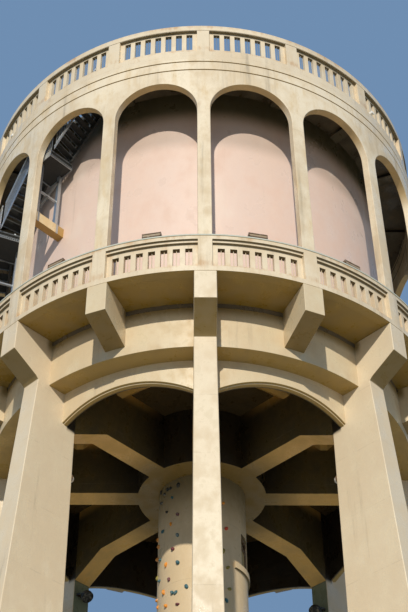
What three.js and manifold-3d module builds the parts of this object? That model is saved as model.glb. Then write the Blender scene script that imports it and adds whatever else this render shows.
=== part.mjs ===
// Water tower: a tank behind an arcade, carried by eight battered piers and a central shaft.
// Millimetres, +Z up. Angle 0 faces -Y and angles grow towards +X; bays are 22.5 degrees wide.
import * as THREE from "three";
import { mergeVertices } from "three/addons/utils/BufferGeometryUtils.js";
import Module from "manifold-3d";

const wasm = await Module();
wasm.setup();

// Rings and bays
const COLUMNS = 16;
const PIERS = 8;
const BAY = 360 / COLUMNS;
const FACET = BAY / 4;
const SHAFT_FACET = BAY / 2;
const JOINT = 0.3;
const CUT = 40;

// Radii
const ARCADE_OUT = 6200;
const ARCADE_IN = 6010;
const FASCIA_OUT = 6240;
const TANK_OUT = 5080;
const TANK_IN = 4830;
const DRUM_OUT = 5180;
const ARCH_OUT = 4720;
const ARCH_WALL_IN = 4540;
const PIER_IN = 4330;
const HUB_OUT = 1570;
const SHAFT_OUT = 1050;
const SHAFT_IN = 850;

// Heights above the ground
const ARCH_SPRING_Z = 19420;
const ARCH_CROWN_Z = 19820;
const DRUM_SOFFIT_Z = 20270;
const CEILING_Z = 21440;
const GALLERY_SOFFIT_Z = 21556;
const GALLERY_DECK_Z = 21700;
const RAIL_TOP_Z = 22690;
const UPPER_CROWN_Z = 28365;
const RIB_SOFFIT_Z = 29210;
const ROOF_SOFFIT_Z = 29310;
const ROOF_TOP_Z = 29460;
const TOWER_TOP_Z = 30790;

// Piers
const PIER_HEAD_HALF = 250;
const PIER_BATTER = 0.061;
const PIER_INNER_BATTER = 0.0068;
const PIER_SIDE_BATTER = 0.0067;
const PIER_HEAD_OUT = 5490;
const BLOCK_BOTTOM_Z = 20740;
const BLOCK_LIP = 80;

// Brackets between the piers
const BRACKET_HALF = 240;
const BRACKET_FOOT_Z = 20500;

// Floor beams
const BEAM_HALF = 250;
const BEAM_SOFFIT_Z = 19860;
const HAUNCH_START = 3380;
const HAUNCH_FOOT_Z = 19350;
const RING_FOOT = { inner: 2970, outer: 3150, z: 21175 };
const RING_HEAD = { inner: 2680, outer: 3420 };

// Low arches between the piers
const LOW_ARCH_STEPS = 12;

// Upper arches, the grooves over them and the slots in the balustrades
const COLUMN_HALF = 163;
const UPPER_ARCH_STEPS = 14;
const GROOVE_DEPTH = 25;
const GROOVES = [
  { low: 28845, high: 28880 },
  { low: 29192, high: 29227 },
];
const SLOTS = 7;
const SLOT_PITCH = 2.62;
const SLOT_WIDTH = 158;
const PILASTER_HALF = 162;
const RAIL_SLOT = { low: 21830, high: 22348 };
const RAIL_PANEL = { outer: 6130, low: GALLERY_DECK_Z, high: 22476 };
const RAIL_STEP = { outer: 6190, low: 22476, high: 22545 };
const PARAPET_SLOT = { low: 29845, high: 30510 };
const PARAPET_PANEL = { outer: 6105, low: 29650, high: 30578 };

// Ribs under the roof slab, one at each column
const RIB_HALF = 150;

// Shaft openings
const DOOR = { angle: 180, half: 450, low: -CUT, high: 2100 };
const WINDOW = { angle: 72, half: 240, low: 17620, high: 18520 };

// Steel stair between the arcade and the tank
const STAIR_MIDDLE = 5640;
const FLIGHT_WIDTH = 620;
const LANDING_IN = 5250;
const LANDING_OUT = 5985;
const LANDING_COLUMNS = [-6, -5, -4, -3, -2];
const LANDING_HALF = 430;
const LANDING_THICK = 100;
const TOP_LANDING_Z = 27620;
const LANDING_RISE = 1090;
const DECK_FLIGHT_STEPS = 8;
const FLIGHT_STEPS = 6;
const ROOF_FLIGHT_STEPS = 10;
const TREAD_THICK = 35;
const TREAD_LAP = 20;
const STRINGER_THICK = 30;
const STRINGER_DEPTH = 200;
const POST_SIZE = 90;
const POST_RADII = [5300, 5910];
const BRACE_SIZE = 50;
const BRACE_RISE = 1500;
const STAIR_BEAM = { low: 25230, high: 25540, half: 105 };
const HATCH_HALF = 350;
const HATCH_BEHIND = 250;

// Cutters of a curved wall start at this share of its inner radius
const CUTTER_START = 0.7;

const rad = THREE.MathUtils.degToRad;

/** Point at radius r and angle a (degrees) in the ground plane. */
function at(r, a) {
  return new THREE.Vector2(r * Math.sin(rad(a)), -r * Math.cos(rad(a)));
}

/** Manifold solid of a three.js geometry. */
function solid(geometry) {
  geometry.deleteAttribute("normal");
  geometry.deleteAttribute("uv");
  const merged = mergeVertices(geometry, 1e-3);
  return new wasm.Manifold(
    new wasm.Mesh({
      numProp: 3,
      vertProperties: new Float32Array(merged.attributes.position.array),
      triVerts: new Uint32Array(merged.index.array),
    })
  );
}

/** Maps every vertex of a geometry through move(x, y, z). */
function remap(geometry, move) {
  const place = geometry.attributes.position;
  for (let i = 0; i < place.count; i += 1) {
    place.setXYZ(i, ...move(place.getX(i), place.getY(i), place.getZ(i)));
  }
  return geometry;
}

/** Straight prism of a closed outline, as a three.js geometry along +Z. */
function prism(points, depth) {
  return new THREE.ExtrudeGeometry(new THREE.Shape(points), { depth, bevelEnabled: false });
}

/** Angles of the ring facets from a0 to a1, both ends included. */
function facetAngles(a0, a1, facet = FACET) {
  const angles = [a0];
  const first = Math.floor(a0 / facet + 1e-6) + 1;
  for (let i = first; i * facet < a1 - 1e-6; i += 1) {
    angles.push(i * facet);
  }
  angles.push(a1);
  return angles;
}

/** Part of a ring between two radii, two heights and two angles. */
function ringSector(r0, r1, z0, z1, a0, a1) {
  const angles = facetAngles(a0, a1);
  const outer = angles.map((a) => at(r1, a));
  const inner = angles.map((a) => at(r0, a)).reverse();
  const geometry = prism([...outer, ...inner], z1 - z0);
  geometry.translate(0, 0, z0);
  return solid(geometry);
}

/** Disc or full ring; r0 = 0 gives a disc. */
function fullRing(r0, r1, z0, z1, facet = FACET) {
  const angles = facetAngles(-180, 180, facet).slice(0, -1);
  const shape = new THREE.Shape(angles.map((a) => at(r1, a)));
  if (r0 > 0) {
    shape.holes.push(new THREE.Path(angles.map((a) => at(r0, a))));
  }
  const geometry = new THREE.ExtrudeGeometry(shape, { depth: z1 - z0, bevelEnabled: false });
  geometry.translate(0, 0, z0);
  return solid(geometry);
}

/** Box between two radii, two heights and two tangential offsets, turned to angle a. */
function radialBox(r0, r1, t0, t1, z0, z1, a) {
  const box = new THREE.BoxGeometry(t1 - t0, r1 - r0, z1 - z0);
  box.translate((t0 + t1) / 2, -(r0 + r1) / 2, (z0 + z1) / 2);
  box.rotateZ(rad(a));
  return solid(box);
}

/** Slab of a (radius, height) outline; halfAt(z) gives its half width at a height. */
function radialSlab(outline, halfAt, a) {
  const points = outline.map(([r, z]) => new THREE.Vector2(r, z));
  const geometry = prism(points, 2);
  remap(geometry, (r, z, side) => [(1 - side) * halfAt(z), -r, z]);
  geometry.rotateZ(rad(a));
  return solid(geometry);
}

/** Cutter of a (tangent, height) outline from r0 to r1; widthAt(r) scales the tangent. */
function archCutter(points, r0, r1, widthAt, a) {
  const geometry = prism(points, r1 - r0);
  remap(geometry, (t, z, depth) => [t * widthAt(r0 + depth), -(r0 + depth), z]);
  geometry.rotateZ(rad(a));
  return solid(geometry);
}

/** Named mesh of a manifold solid. */
function mesh(name, body, material) {
  const data = body.getMesh();
  const geometry = new THREE.BufferGeometry();
  geometry.setAttribute("position", new THREE.BufferAttribute(data.vertProperties, 3));
  geometry.setIndex(new THREE.BufferAttribute(data.triVerts, 1));
  geometry.computeVertexNormals();
  const node = new THREE.Mesh(geometry, new THREE.MeshStandardMaterial({ ...material }));
  node.name = name;
  node.material.name = material.name;
  return node;
}

const CONCRETE = { name: "concrete", color: 0xd9c9a3, roughness: 0.9, metalness: 0 };
const RENDER = { name: "tank_render", color: 0xd8b9a5, roughness: 0.95, metalness: 0 };
const STEEL = { name: "galvanised_steel", color: 0xa9b0b3, roughness: 0.5, metalness: 0.8 };

/** Battered pier with the block that carries the gallery. */
function pier(a) {
  const drop = DRUM_SOFFIT_Z - ARCH_SPRING_Z;
  const leg = [
    [PIER_IN - PIER_INNER_BATTER * ARCH_SPRING_Z, 0],
    [PIER_HEAD_OUT + PIER_BATTER * DRUM_SOFFIT_Z, 0],
    [PIER_HEAD_OUT + PIER_BATTER * drop, ARCH_SPRING_Z],
    [PIER_IN, ARCH_SPRING_Z],
  ];
  const head = [
    [PIER_IN, ARCH_SPRING_Z - 1],
    [PIER_HEAD_OUT + PIER_BATTER * drop, ARCH_SPRING_Z - 1],
    [PIER_HEAD_OUT, DRUM_SOFFIT_Z],
    [PIER_HEAD_OUT + BLOCK_LIP, DRUM_SOFFIT_Z + BLOCK_LIP],
    [FASCIA_OUT, BLOCK_BOTTOM_Z],
    [FASCIA_OUT, GALLERY_SOFFIT_Z - JOINT],
    [DRUM_OUT + JOINT, GALLERY_SOFFIT_Z - JOINT],
    [DRUM_OUT + JOINT, CEILING_Z - JOINT],
    [PIER_IN, CEILING_Z - JOINT],
  ];
  const legHalf = (z) => PIER_HEAD_HALF + PIER_SIDE_BATTER * (ARCH_SPRING_Z - z);
  return radialSlab(leg, legHalf, a).add(radialSlab(head, () => PIER_HEAD_HALF, a));
}

/** Half width between two piers at radius r, seen from the middle of their bay. */
function pierGapHalf(r) {
  const half = PIER_HEAD_HALF + JOINT;
  return r * Math.tan(rad(BAY)) - half / Math.cos(rad(BAY));
}

/** Drum wall, stepped soffit and low arch between two piers, with the bracket in its middle. */
function archWall(a) {
  const from = a - BAY;
  const to = a + BAY;
  const drum = ringSector(ARCH_WALL_IN, DRUM_OUT, DRUM_SOFFIT_Z, CEILING_Z - JOINT, from, to);
  const lower = ringSector(ARCH_WALL_IN, ARCH_OUT, ARCH_SPRING_Z - CUT, DRUM_SOFFIT_Z + 1, from, to);
  const bracket = radialSlab(
    [
      [ARCH_OUT, BRACKET_FOOT_Z],
      [DRUM_OUT - CUT, BRACKET_FOOT_Z],
      [FASCIA_OUT, BLOCK_BOTTOM_Z],
      [FASCIA_OUT, GALLERY_SOFFIT_Z - JOINT],
      [DRUM_OUT + JOINT, GALLERY_SOFFIT_Z - JOINT],
      [DRUM_OUT + JOINT, CEILING_Z - JOINT],
      [ARCH_OUT, CEILING_Z - JOINT],
    ],
    () => BRACKET_HALF,
    a
  );
  const between = archCutter(
    [
      new THREE.Vector2(-1, 0),
      new THREE.Vector2(1, 0),
      new THREE.Vector2(1, GALLERY_SOFFIT_Z),
      new THREE.Vector2(-1, GALLERY_SOFFIT_Z),
    ],
    ARCH_WALL_IN * CUTTER_START,
    FASCIA_OUT + CUT,
    pierGapHalf,
    a
  );
  return drum.add(lower).add(bracket).intersect(between).subtract(lowArch(a));
}

/** Space under the low arch: a segment of a circle from pier to pier. */
function lowArch(a) {
  const half = ARCH_OUT * Math.sin(rad(BAY) - Math.asin(PIER_HEAD_HALF / ARCH_OUT));
  const rise = ARCH_CROWN_Z - ARCH_SPRING_Z;
  const radius = (half * half + rise * rise) / (2 * rise);
  const sweep = Math.asin(half / radius);
  const points = [];
  for (let i = 0; i <= LOW_ARCH_STEPS; i += 1) {
    const turn = sweep * (1 - (2 * i) / LOW_ARCH_STEPS);
    const drop = radius - radius * Math.cos(turn);
    points.push(new THREE.Vector2(radius * Math.sin(turn), ARCH_CROWN_Z - drop));
  }
  points.push(new THREE.Vector2(-2 * half, ARCH_SPRING_Z));
  points.push(new THREE.Vector2(-2 * half, ARCH_SPRING_Z - 4 * CUT));
  points.push(new THREE.Vector2(2 * half, ARCH_SPRING_Z - 4 * CUT));
  points.push(new THREE.Vector2(2 * half, ARCH_SPRING_Z));
  return archCutter(points, ARCH_WALL_IN * CUTTER_START, ARCH_OUT + CUT, () => 1, a);
}

/** Ring under the ceiling, narrow at its foot and wide at its head. */
function ceilingRing() {
  const head = CEILING_Z - JOINT;
  const section = [
    new THREE.Vector2(RING_FOOT.outer, RING_FOOT.z),
    new THREE.Vector2(RING_HEAD.outer, head),
    new THREE.Vector2(RING_HEAD.inner, head),
    new THREE.Vector2(RING_FOOT.inner, RING_FOOT.z),
    new THREE.Vector2(RING_FOOT.outer, RING_FOOT.z),
  ];
  const geometry = new THREE.LatheGeometry(section, 360 / FACET);
  geometry.rotateX(Math.PI / 2);
  return solid(geometry);
}

/** Floor beams: a hub around the shaft, eight haunched arms to the piers and the ceiling ring. */
function floorBeams() {
  const hub = fullRing(SHAFT_OUT + JOINT, HUB_OUT, BEAM_SOFFIT_Z, CEILING_Z - JOINT, SHAFT_FACET);
  let body = hub.add(ceilingRing());
  const outline = [
    [HUB_OUT - CUT, BEAM_SOFFIT_Z],
    [HAUNCH_START, BEAM_SOFFIT_Z],
    [PIER_IN - 5 * JOINT, HAUNCH_FOOT_Z],
    [PIER_IN - 3 * JOINT, HAUNCH_FOOT_Z],
    [PIER_IN - JOINT, ARCH_SPRING_Z],
    [PIER_IN - JOINT, CEILING_Z - JOINT],
    [HUB_OUT - CUT, CEILING_Z - JOINT],
  ];
  for (let i = 0; i < PIERS; i += 1) {
    body = body.add(radialSlab(outline, () => BEAM_HALF, i * 2 * BAY));
  }
  return body;
}

/** Central shaft: a round tube with a doorway at the ground and one window near the top. */
function shaft() {
  const tube = fullRing(SHAFT_IN, SHAFT_OUT, 0, CEILING_Z - JOINT, SHAFT_FACET);
  return [DOOR, WINDOW].reduce((body, hole) => {
    const inner = SHAFT_IN * CUTTER_START;
    const outer = SHAFT_OUT + CUT;
    return body.subtract(radialBox(inner, outer, -hole.half, hole.half, hole.low, hole.high, hole.angle));
  }, tube);
}

/** Half width of an upper arch at radius r, so that the columns keep parallel sides. */
function upperArchHalf(r) {
  return r * Math.tan(rad(BAY / 2)) - COLUMN_HALF / Math.cos(rad(BAY / 2));
}

/** Quarter of the arcade: four round arches and two grooves, cut apart at the arch crowns. */
function arcade(quarter) {
  const a0 = (quarter * COLUMNS / 4 - 0.5) * BAY;
  const gap = THREE.MathUtils.radToDeg(JOINT / ARCADE_OUT);
  const foot = RAIL_TOP_Z + JOINT;
  const head = ROOF_SOFFIT_Z - JOINT;
  let body = ringSector(ARCADE_IN, ARCADE_OUT, foot, head, a0, a0 + 90 - gap);
  const half = upperArchHalf(ARCADE_OUT * Math.cos(rad(BAY / 2)));
  const spring = UPPER_CROWN_Z - half;
  const points = [new THREE.Vector2(-1, RAIL_TOP_Z - CUT), new THREE.Vector2(1, RAIL_TOP_Z - CUT)];
  for (let i = 0; i <= UPPER_ARCH_STEPS; i += 1) {
    const turn = (Math.PI * i) / UPPER_ARCH_STEPS;
    points.push(new THREE.Vector2(Math.cos(turn), spring + half * Math.sin(turn)));
  }
  for (let i = 0; i <= COLUMNS / 4; i += 1) {
    const start = ARCADE_IN * Math.cos(rad(BAY / 2)) - CUT;
    body = body.subtract(archCutter(points, start, ARCADE_OUT + CUT, upperArchHalf, a0 + i * BAY));
  }
  for (const { low, high } of GROOVES) {
    body = body.subtract(ringSector(ARCADE_OUT - GROOVE_DEPTH, ARCADE_OUT + CUT, low, high, a0, a0 + 90));
  }
  return body;
}

/** Angles from the middle of a bay at which its slots are cut. */
function slotAngles() {
  return Array.from({ length: SLOTS }, (_, i) => (i - (SLOTS - 1) / 2) * SLOT_PITCH);
}

/** Balustrade over a quarter turn: pilasters, recessed slotted panels and a coping. */
function balustrade(quarter, size) {
  const a0 = quarter * 90;
  const gap = THREE.MathUtils.radToDeg(JOINT / ARCADE_OUT);
  const edge = THREE.MathUtils.radToDeg(PILASTER_HALF / ARCADE_OUT);
  let body = ringSector(ARCADE_IN, size.outer, size.low, size.high, a0, a0 + 90 - gap);
  for (let i = 0; i < COLUMNS / 4; i += 1) {
    const left = a0 + i * BAY + edge;
    const right = a0 + (i + 1) * BAY - edge;
    for (const part of size.recesses) {
      body = body.subtract(ringSector(part.outer, size.outer + CUT, part.low, part.high, left, right));
    }
    for (const turn of slotAngles()) {
      const half = SLOT_WIDTH / 2;
      const middle = a0 + (i + 0.5) * BAY + turn;
      const { low, high } = size.slot;
      body = body.subtract(radialBox(ARCADE_IN - CUT, size.outer + CUT, -half, half, low, high, middle));
    }
  }
  return body;
}

const GALLERY_RAIL = {
  outer: FASCIA_OUT,
  low: GALLERY_DECK_Z + JOINT,
  high: RAIL_TOP_Z,
  recesses: [RAIL_PANEL, RAIL_STEP],
  slot: RAIL_SLOT,
};

const PARAPET = {
  outer: ARCADE_OUT,
  low: ROOF_TOP_Z + JOINT,
  high: TOWER_TOP_Z,
  recesses: [PARAPET_PANEL],
  slot: PARAPET_SLOT,
};

/** Straight bar of square section between two points. */
function bar(from, to, size) {
  const line = new THREE.Vector3().subVectors(to, from);
  const box = new THREE.BoxGeometry(size, size, line.length());
  const turn = new THREE.Quaternion();
  turn.setFromUnitVectors(new THREE.Vector3(0, 0, 1), line.clone().normalize());
  box.applyQuaternion(turn);
  box.translate((from.x + to.x) / 2, (from.y + to.y) / 2, (from.z + to.z) / 2);
  return solid(box);
}

/** Point beside column k: radius r along its line, t sideways, height z. */
function beside(k, r, t, z) {
  const turn = rad(k * BAY);
  const x = t * Math.cos(turn) + r * Math.sin(turn);
  const y = t * Math.sin(turn) - r * Math.cos(turn);
  return new THREE.Vector3(x, y, z);
}

/** Height of the landing at column k. */
function landingHeight(k) {
  return TOP_LANDING_Z - (LANDING_COLUMNS.at(-1) - k) * LANDING_RISE;
}

/** Landing plate on two posts; the top one stands on the beam, the others on the deck. */
function landing(k) {
  const top = landingHeight(k);
  const foot = (k === LANDING_COLUMNS.at(-1) ? STAIR_BEAM.high : GALLERY_DECK_Z) + JOINT;
  const angle = k * BAY;
  let body = radialBox(LANDING_IN, LANDING_OUT, -LANDING_HALF, LANDING_HALF, top - LANDING_THICK, top, angle);
  for (const r of POST_RADII) {
    const half = POST_SIZE / 2;
    body = body.add(radialBox(r - half, r + half, -half, half, foot, top - LANDING_THICK / 2, angle));
  }
  const low = foot + POST_SIZE;
  const high = Math.min(top - LANDING_THICK - POST_SIZE, low + BRACE_RISE);
  const [innerPost, outerPost] = POST_RADII;
  return body.add(bar(beside(k, innerPost, 0, high), beside(k, outerPost, 0, low), BRACE_SIZE));
}

/** Line of the flight from column k to the next one: its foot, heading and run. */
function flightLine(k) {
  const onDeck = k < LANDING_COLUMNS[0];
  const foot = beside(k, STAIR_MIDDLE, onDeck ? 0 : LANDING_HALF, 0);
  const head = beside(k + 1, STAIR_MIDDLE, -LANDING_HALF, 0);
  const along = new THREE.Vector3().subVectors(head, foot);
  const heading = Math.atan2(along.y, along.x);
  const cornerReach = (column) => {
    const turn = Math.abs(rad(column * BAY) - heading);
    return (FLIGHT_WIDTH / 2) * Math.tan(turn) + JOINT / Math.cos(turn);
  };
  const start = onDeck ? 0 : cornerReach(k);
  foot.addScaledVector(along.clone().normalize(), start);
  return { foot, heading, run: along.length() - start - cornerReach(k + 1) };
}

/** Solid of a geometry drawn from the flight's foot, turned to its heading and lifted. */
function onFlight(geometry, line, lift) {
  geometry.rotateZ(line.heading);
  geometry.translate(line.foot.x, line.foot.y, lift);
  return solid(geometry);
}

/** Flight from column k to the next one: treads between two stringers. */
function flight(k, lowZ, highZ, steps) {
  const line = flightLine(k);
  const rise = highZ - lowZ - JOINT;
  const going = line.run / steps;
  const outline = [
    new THREE.Vector2(0, 0),
    new THREE.Vector2(STRINGER_DEPTH, 0),
    new THREE.Vector2(line.run, rise - STRINGER_DEPTH),
    new THREE.Vector2(line.run, rise),
    new THREE.Vector2(line.run - STRINGER_DEPTH, rise),
    new THREE.Vector2(0, STRINGER_DEPTH),
  ];
  const pieces = [-FLIGHT_WIDTH / 2, FLIGHT_WIDTH / 2 - STRINGER_THICK].map((shift) => {
    const board = prism(outline, STRINGER_THICK);
    remap(board, (x, y, depth) => [x, -(depth + shift), y]);
    return onFlight(board, line, lowZ + JOINT);
  });
  for (let i = 1; i < steps; i += 1) {
    const tread = new THREE.BoxGeometry(going + TREAD_LAP, FLIGHT_WIDTH - STRINGER_THICK, TREAD_THICK);
    tread.translate((i + 0.5) * going - TREAD_LAP / 2, 0, (rise * i) / steps - TREAD_THICK / 2);
    pieces.push(onFlight(tread, line, lowZ + JOINT));
  }
  return pieces.reduce((body, piece) => body.add(piece));
}

/** Radius that a straight end of this half width reaches without touching the arcade. */
function arcadeReach(half) {
  return ARCADE_IN - half * Math.tan(rad(FACET / 2)) - JOINT;
}

/** Roof slab over the tank and the walk, with its ribs and the hatch where the stair comes up. */
function roofSlab() {
  const line = flightLine(LANDING_COLUMNS.at(-1));
  const length = HATCH_BEHIND + line.run + JOINT;
  const hole = new THREE.BoxGeometry(length, 2 * HATCH_HALF, ROOF_TOP_Z - ROOF_SOFFIT_Z + 2 * CUT);
  hole.translate(length / 2 - HATCH_BEHIND, 0, 0);
  const hatch = onFlight(hole, line, (ROOF_TOP_Z + ROOF_SOFFIT_Z) / 2);
  let body = fullRing(0, ARCADE_OUT, ROOF_SOFFIT_Z, ROOF_TOP_Z).subtract(hatch);
  const reach = arcadeReach(RIB_HALF);
  for (let k = 0; k < COLUMNS; k += 1) {
    const rib = [TANK_OUT + JOINT, reach, -RIB_HALF, RIB_HALF, RIB_SOFFIT_Z, ROOF_SOFFIT_Z + 1];
    body = body.add(radialBox(...rib, k * BAY));
  }
  return body;
}

/** Gallery slab around the tank floor. */
function gallerySlab() {
  return fullRing(DRUM_OUT + JOINT, FASCIA_OUT, GALLERY_SOFFIT_Z, GALLERY_DECK_Z);
}

/** Round tank wall from the deck to the roof slab. */
function tankWall() {
  return fullRing(TANK_IN, TANK_OUT, GALLERY_DECK_Z + JOINT, ROOF_SOFFIT_Z - JOINT);
}

const tower = new THREE.Group();
tower.name = "water_tower";

for (let i = 0; i < PIERS; i += 1) {
  tower.add(mesh(`pier_${i + 1}`, pier(i * 2 * BAY), CONCRETE));
  tower.add(mesh(`arch_wall_${i + 1}`, archWall((i * 2 + 1) * BAY), CONCRETE));
}
tower.add(mesh("floor_beams", floorBeams(), CONCRETE));
tower.add(mesh("shaft", shaft(), CONCRETE));
tower.add(mesh("tank_floor", fullRing(0, DRUM_OUT, CEILING_Z, GALLERY_DECK_Z), CONCRETE));
tower.add(mesh("gallery_slab", gallerySlab(), CONCRETE));
tower.add(mesh("tank_wall", tankWall(), RENDER));
tower.add(mesh("roof_slab", roofSlab(), CONCRETE));
for (let i = 0; i < 4; i += 1) {
  tower.add(mesh(`gallery_rail_${i + 1}`, balustrade(i, GALLERY_RAIL), CONCRETE));
  tower.add(mesh(`arcade_${i + 1}`, arcade(i), CONCRETE));
  tower.add(mesh(`parapet_${i + 1}`, balustrade(i, PARAPET), CONCRETE));
}

/** Concrete beam from the tank to a column, under the top landing of the stair. */
function stairBeam() {
  const { low, high, half } = STAIR_BEAM;
  const angle = LANDING_COLUMNS.at(-1) * BAY;
  return radialBox(TANK_OUT + JOINT, arcadeReach(half), -half, half, low, high, angle);
}

tower.add(mesh("stair_beam", stairBeam(), CONCRETE));
LANDING_COLUMNS.forEach((k, i) => {
  const low = i === 0 ? GALLERY_DECK_Z : landingHeight(k - 1);
  const steps = i === 0 ? DECK_FLIGHT_STEPS : FLIGHT_STEPS;
  tower.add(mesh(`stair_landing_${i + 1}`, landing(k), STEEL));
  tower.add(mesh(`stair_flight_${i + 1}`, flight(k - 1, low, landingHeight(k), steps), STEEL));
});
const roofFlight = flight(LANDING_COLUMNS.at(-1), TOP_LANDING_Z, ROOF_TOP_Z, ROOF_FLIGHT_STEPS);
tower.add(mesh(`stair_flight_${LANDING_COLUMNS.length + 1}`, roofFlight, STEEL));

export default tower;
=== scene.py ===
"""The water tower's looks: surfaces, finishes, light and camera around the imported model.

Metres, +Z up. Angle 0 faces the viewer (-Y) and angles grow towards +X. A bay is 22.5 degrees
wide and column k stands k bays from the front. Piers stand at the even columns, brackets at the
odd ones. A section is a closed outline of (radius, height) points.
"""

import logging
import math
from collections.abc import Sequence
from dataclasses import dataclass, replace
from enum import Enum

import bmesh
import bpy
import numpy as np
from mathutils import Matrix, Vector


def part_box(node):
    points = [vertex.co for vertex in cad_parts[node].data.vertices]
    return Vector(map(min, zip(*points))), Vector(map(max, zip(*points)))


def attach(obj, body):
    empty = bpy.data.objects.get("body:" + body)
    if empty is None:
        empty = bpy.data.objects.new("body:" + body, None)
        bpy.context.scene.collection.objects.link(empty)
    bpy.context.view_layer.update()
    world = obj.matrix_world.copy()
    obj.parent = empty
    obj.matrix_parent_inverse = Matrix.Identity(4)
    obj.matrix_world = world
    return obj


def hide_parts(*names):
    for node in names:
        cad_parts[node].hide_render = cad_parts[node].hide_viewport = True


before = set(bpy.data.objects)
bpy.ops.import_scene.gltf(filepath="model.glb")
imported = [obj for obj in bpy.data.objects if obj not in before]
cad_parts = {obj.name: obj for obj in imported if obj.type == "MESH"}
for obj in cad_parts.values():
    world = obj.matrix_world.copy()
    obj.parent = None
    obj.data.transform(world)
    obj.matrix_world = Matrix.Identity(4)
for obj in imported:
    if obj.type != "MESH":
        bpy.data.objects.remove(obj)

LOG = logging.getLogger("water_tower")
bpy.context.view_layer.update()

COLUMNS = 16
PIERS = 8
BAY = 360 / COLUMNS
ARC_STEP = BAY / 15
FULL_TURN = np.arange(0, 360, ARC_STEP)
ARCADE_IN = 6.01

Array = np.ndarray
Triple = tuple[float, float, float]
Colour = Triple
Span = tuple[float, float]
Section = Sequence[tuple[float, float]]
Socket = bpy.types.NodeSocket


def place(radius: Array | float, angle: Array | float, height: Array | float) -> Array:
    """Points around the tower's axis: (R sin a, -R cos a, z).

    Args:
        radius: Distances from the axis.
        angle: Angles from the front in degrees.
        height: Heights above the ground. The three are broadcast together.

    Returns:
        Points in an array whose last axis is x, y, z.
    """
    turn = np.radians(angle)
    return np.stack(np.broadcast_arrays(radius * np.sin(turn), -radius * np.cos(turn), height), axis=-1)


def beside(angle: float, radius: Array | float, side: Array | float, height: Array | float) -> Array:
    """Points beside a line that leaves the axis at an angle.

    Args:
        angle: The line's angle from the front in degrees.
        radius: Distances along the line.
        side: Distances sideways from it, towards growing angles.
        height: Heights above the ground. The last three are broadcast together.

    Returns:
        Points in an array whose last axis is x, y, z.
    """
    turn = math.radians(angle)
    x = side * math.cos(turn) + radius * math.sin(turn)
    y = side * math.sin(turn) - radius * math.cos(turn)
    return np.stack(np.broadcast_arrays(x, y, height), axis=-1)


def node_radius(node: str) -> float:
    """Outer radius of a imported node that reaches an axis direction."""
    return float(max(abs(v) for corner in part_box(node) for v in corner[:2]))


def node_heights(node: str) -> Span:
    """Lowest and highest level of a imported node."""
    low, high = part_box(node)
    return float(low[2]), float(high[2])


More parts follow.
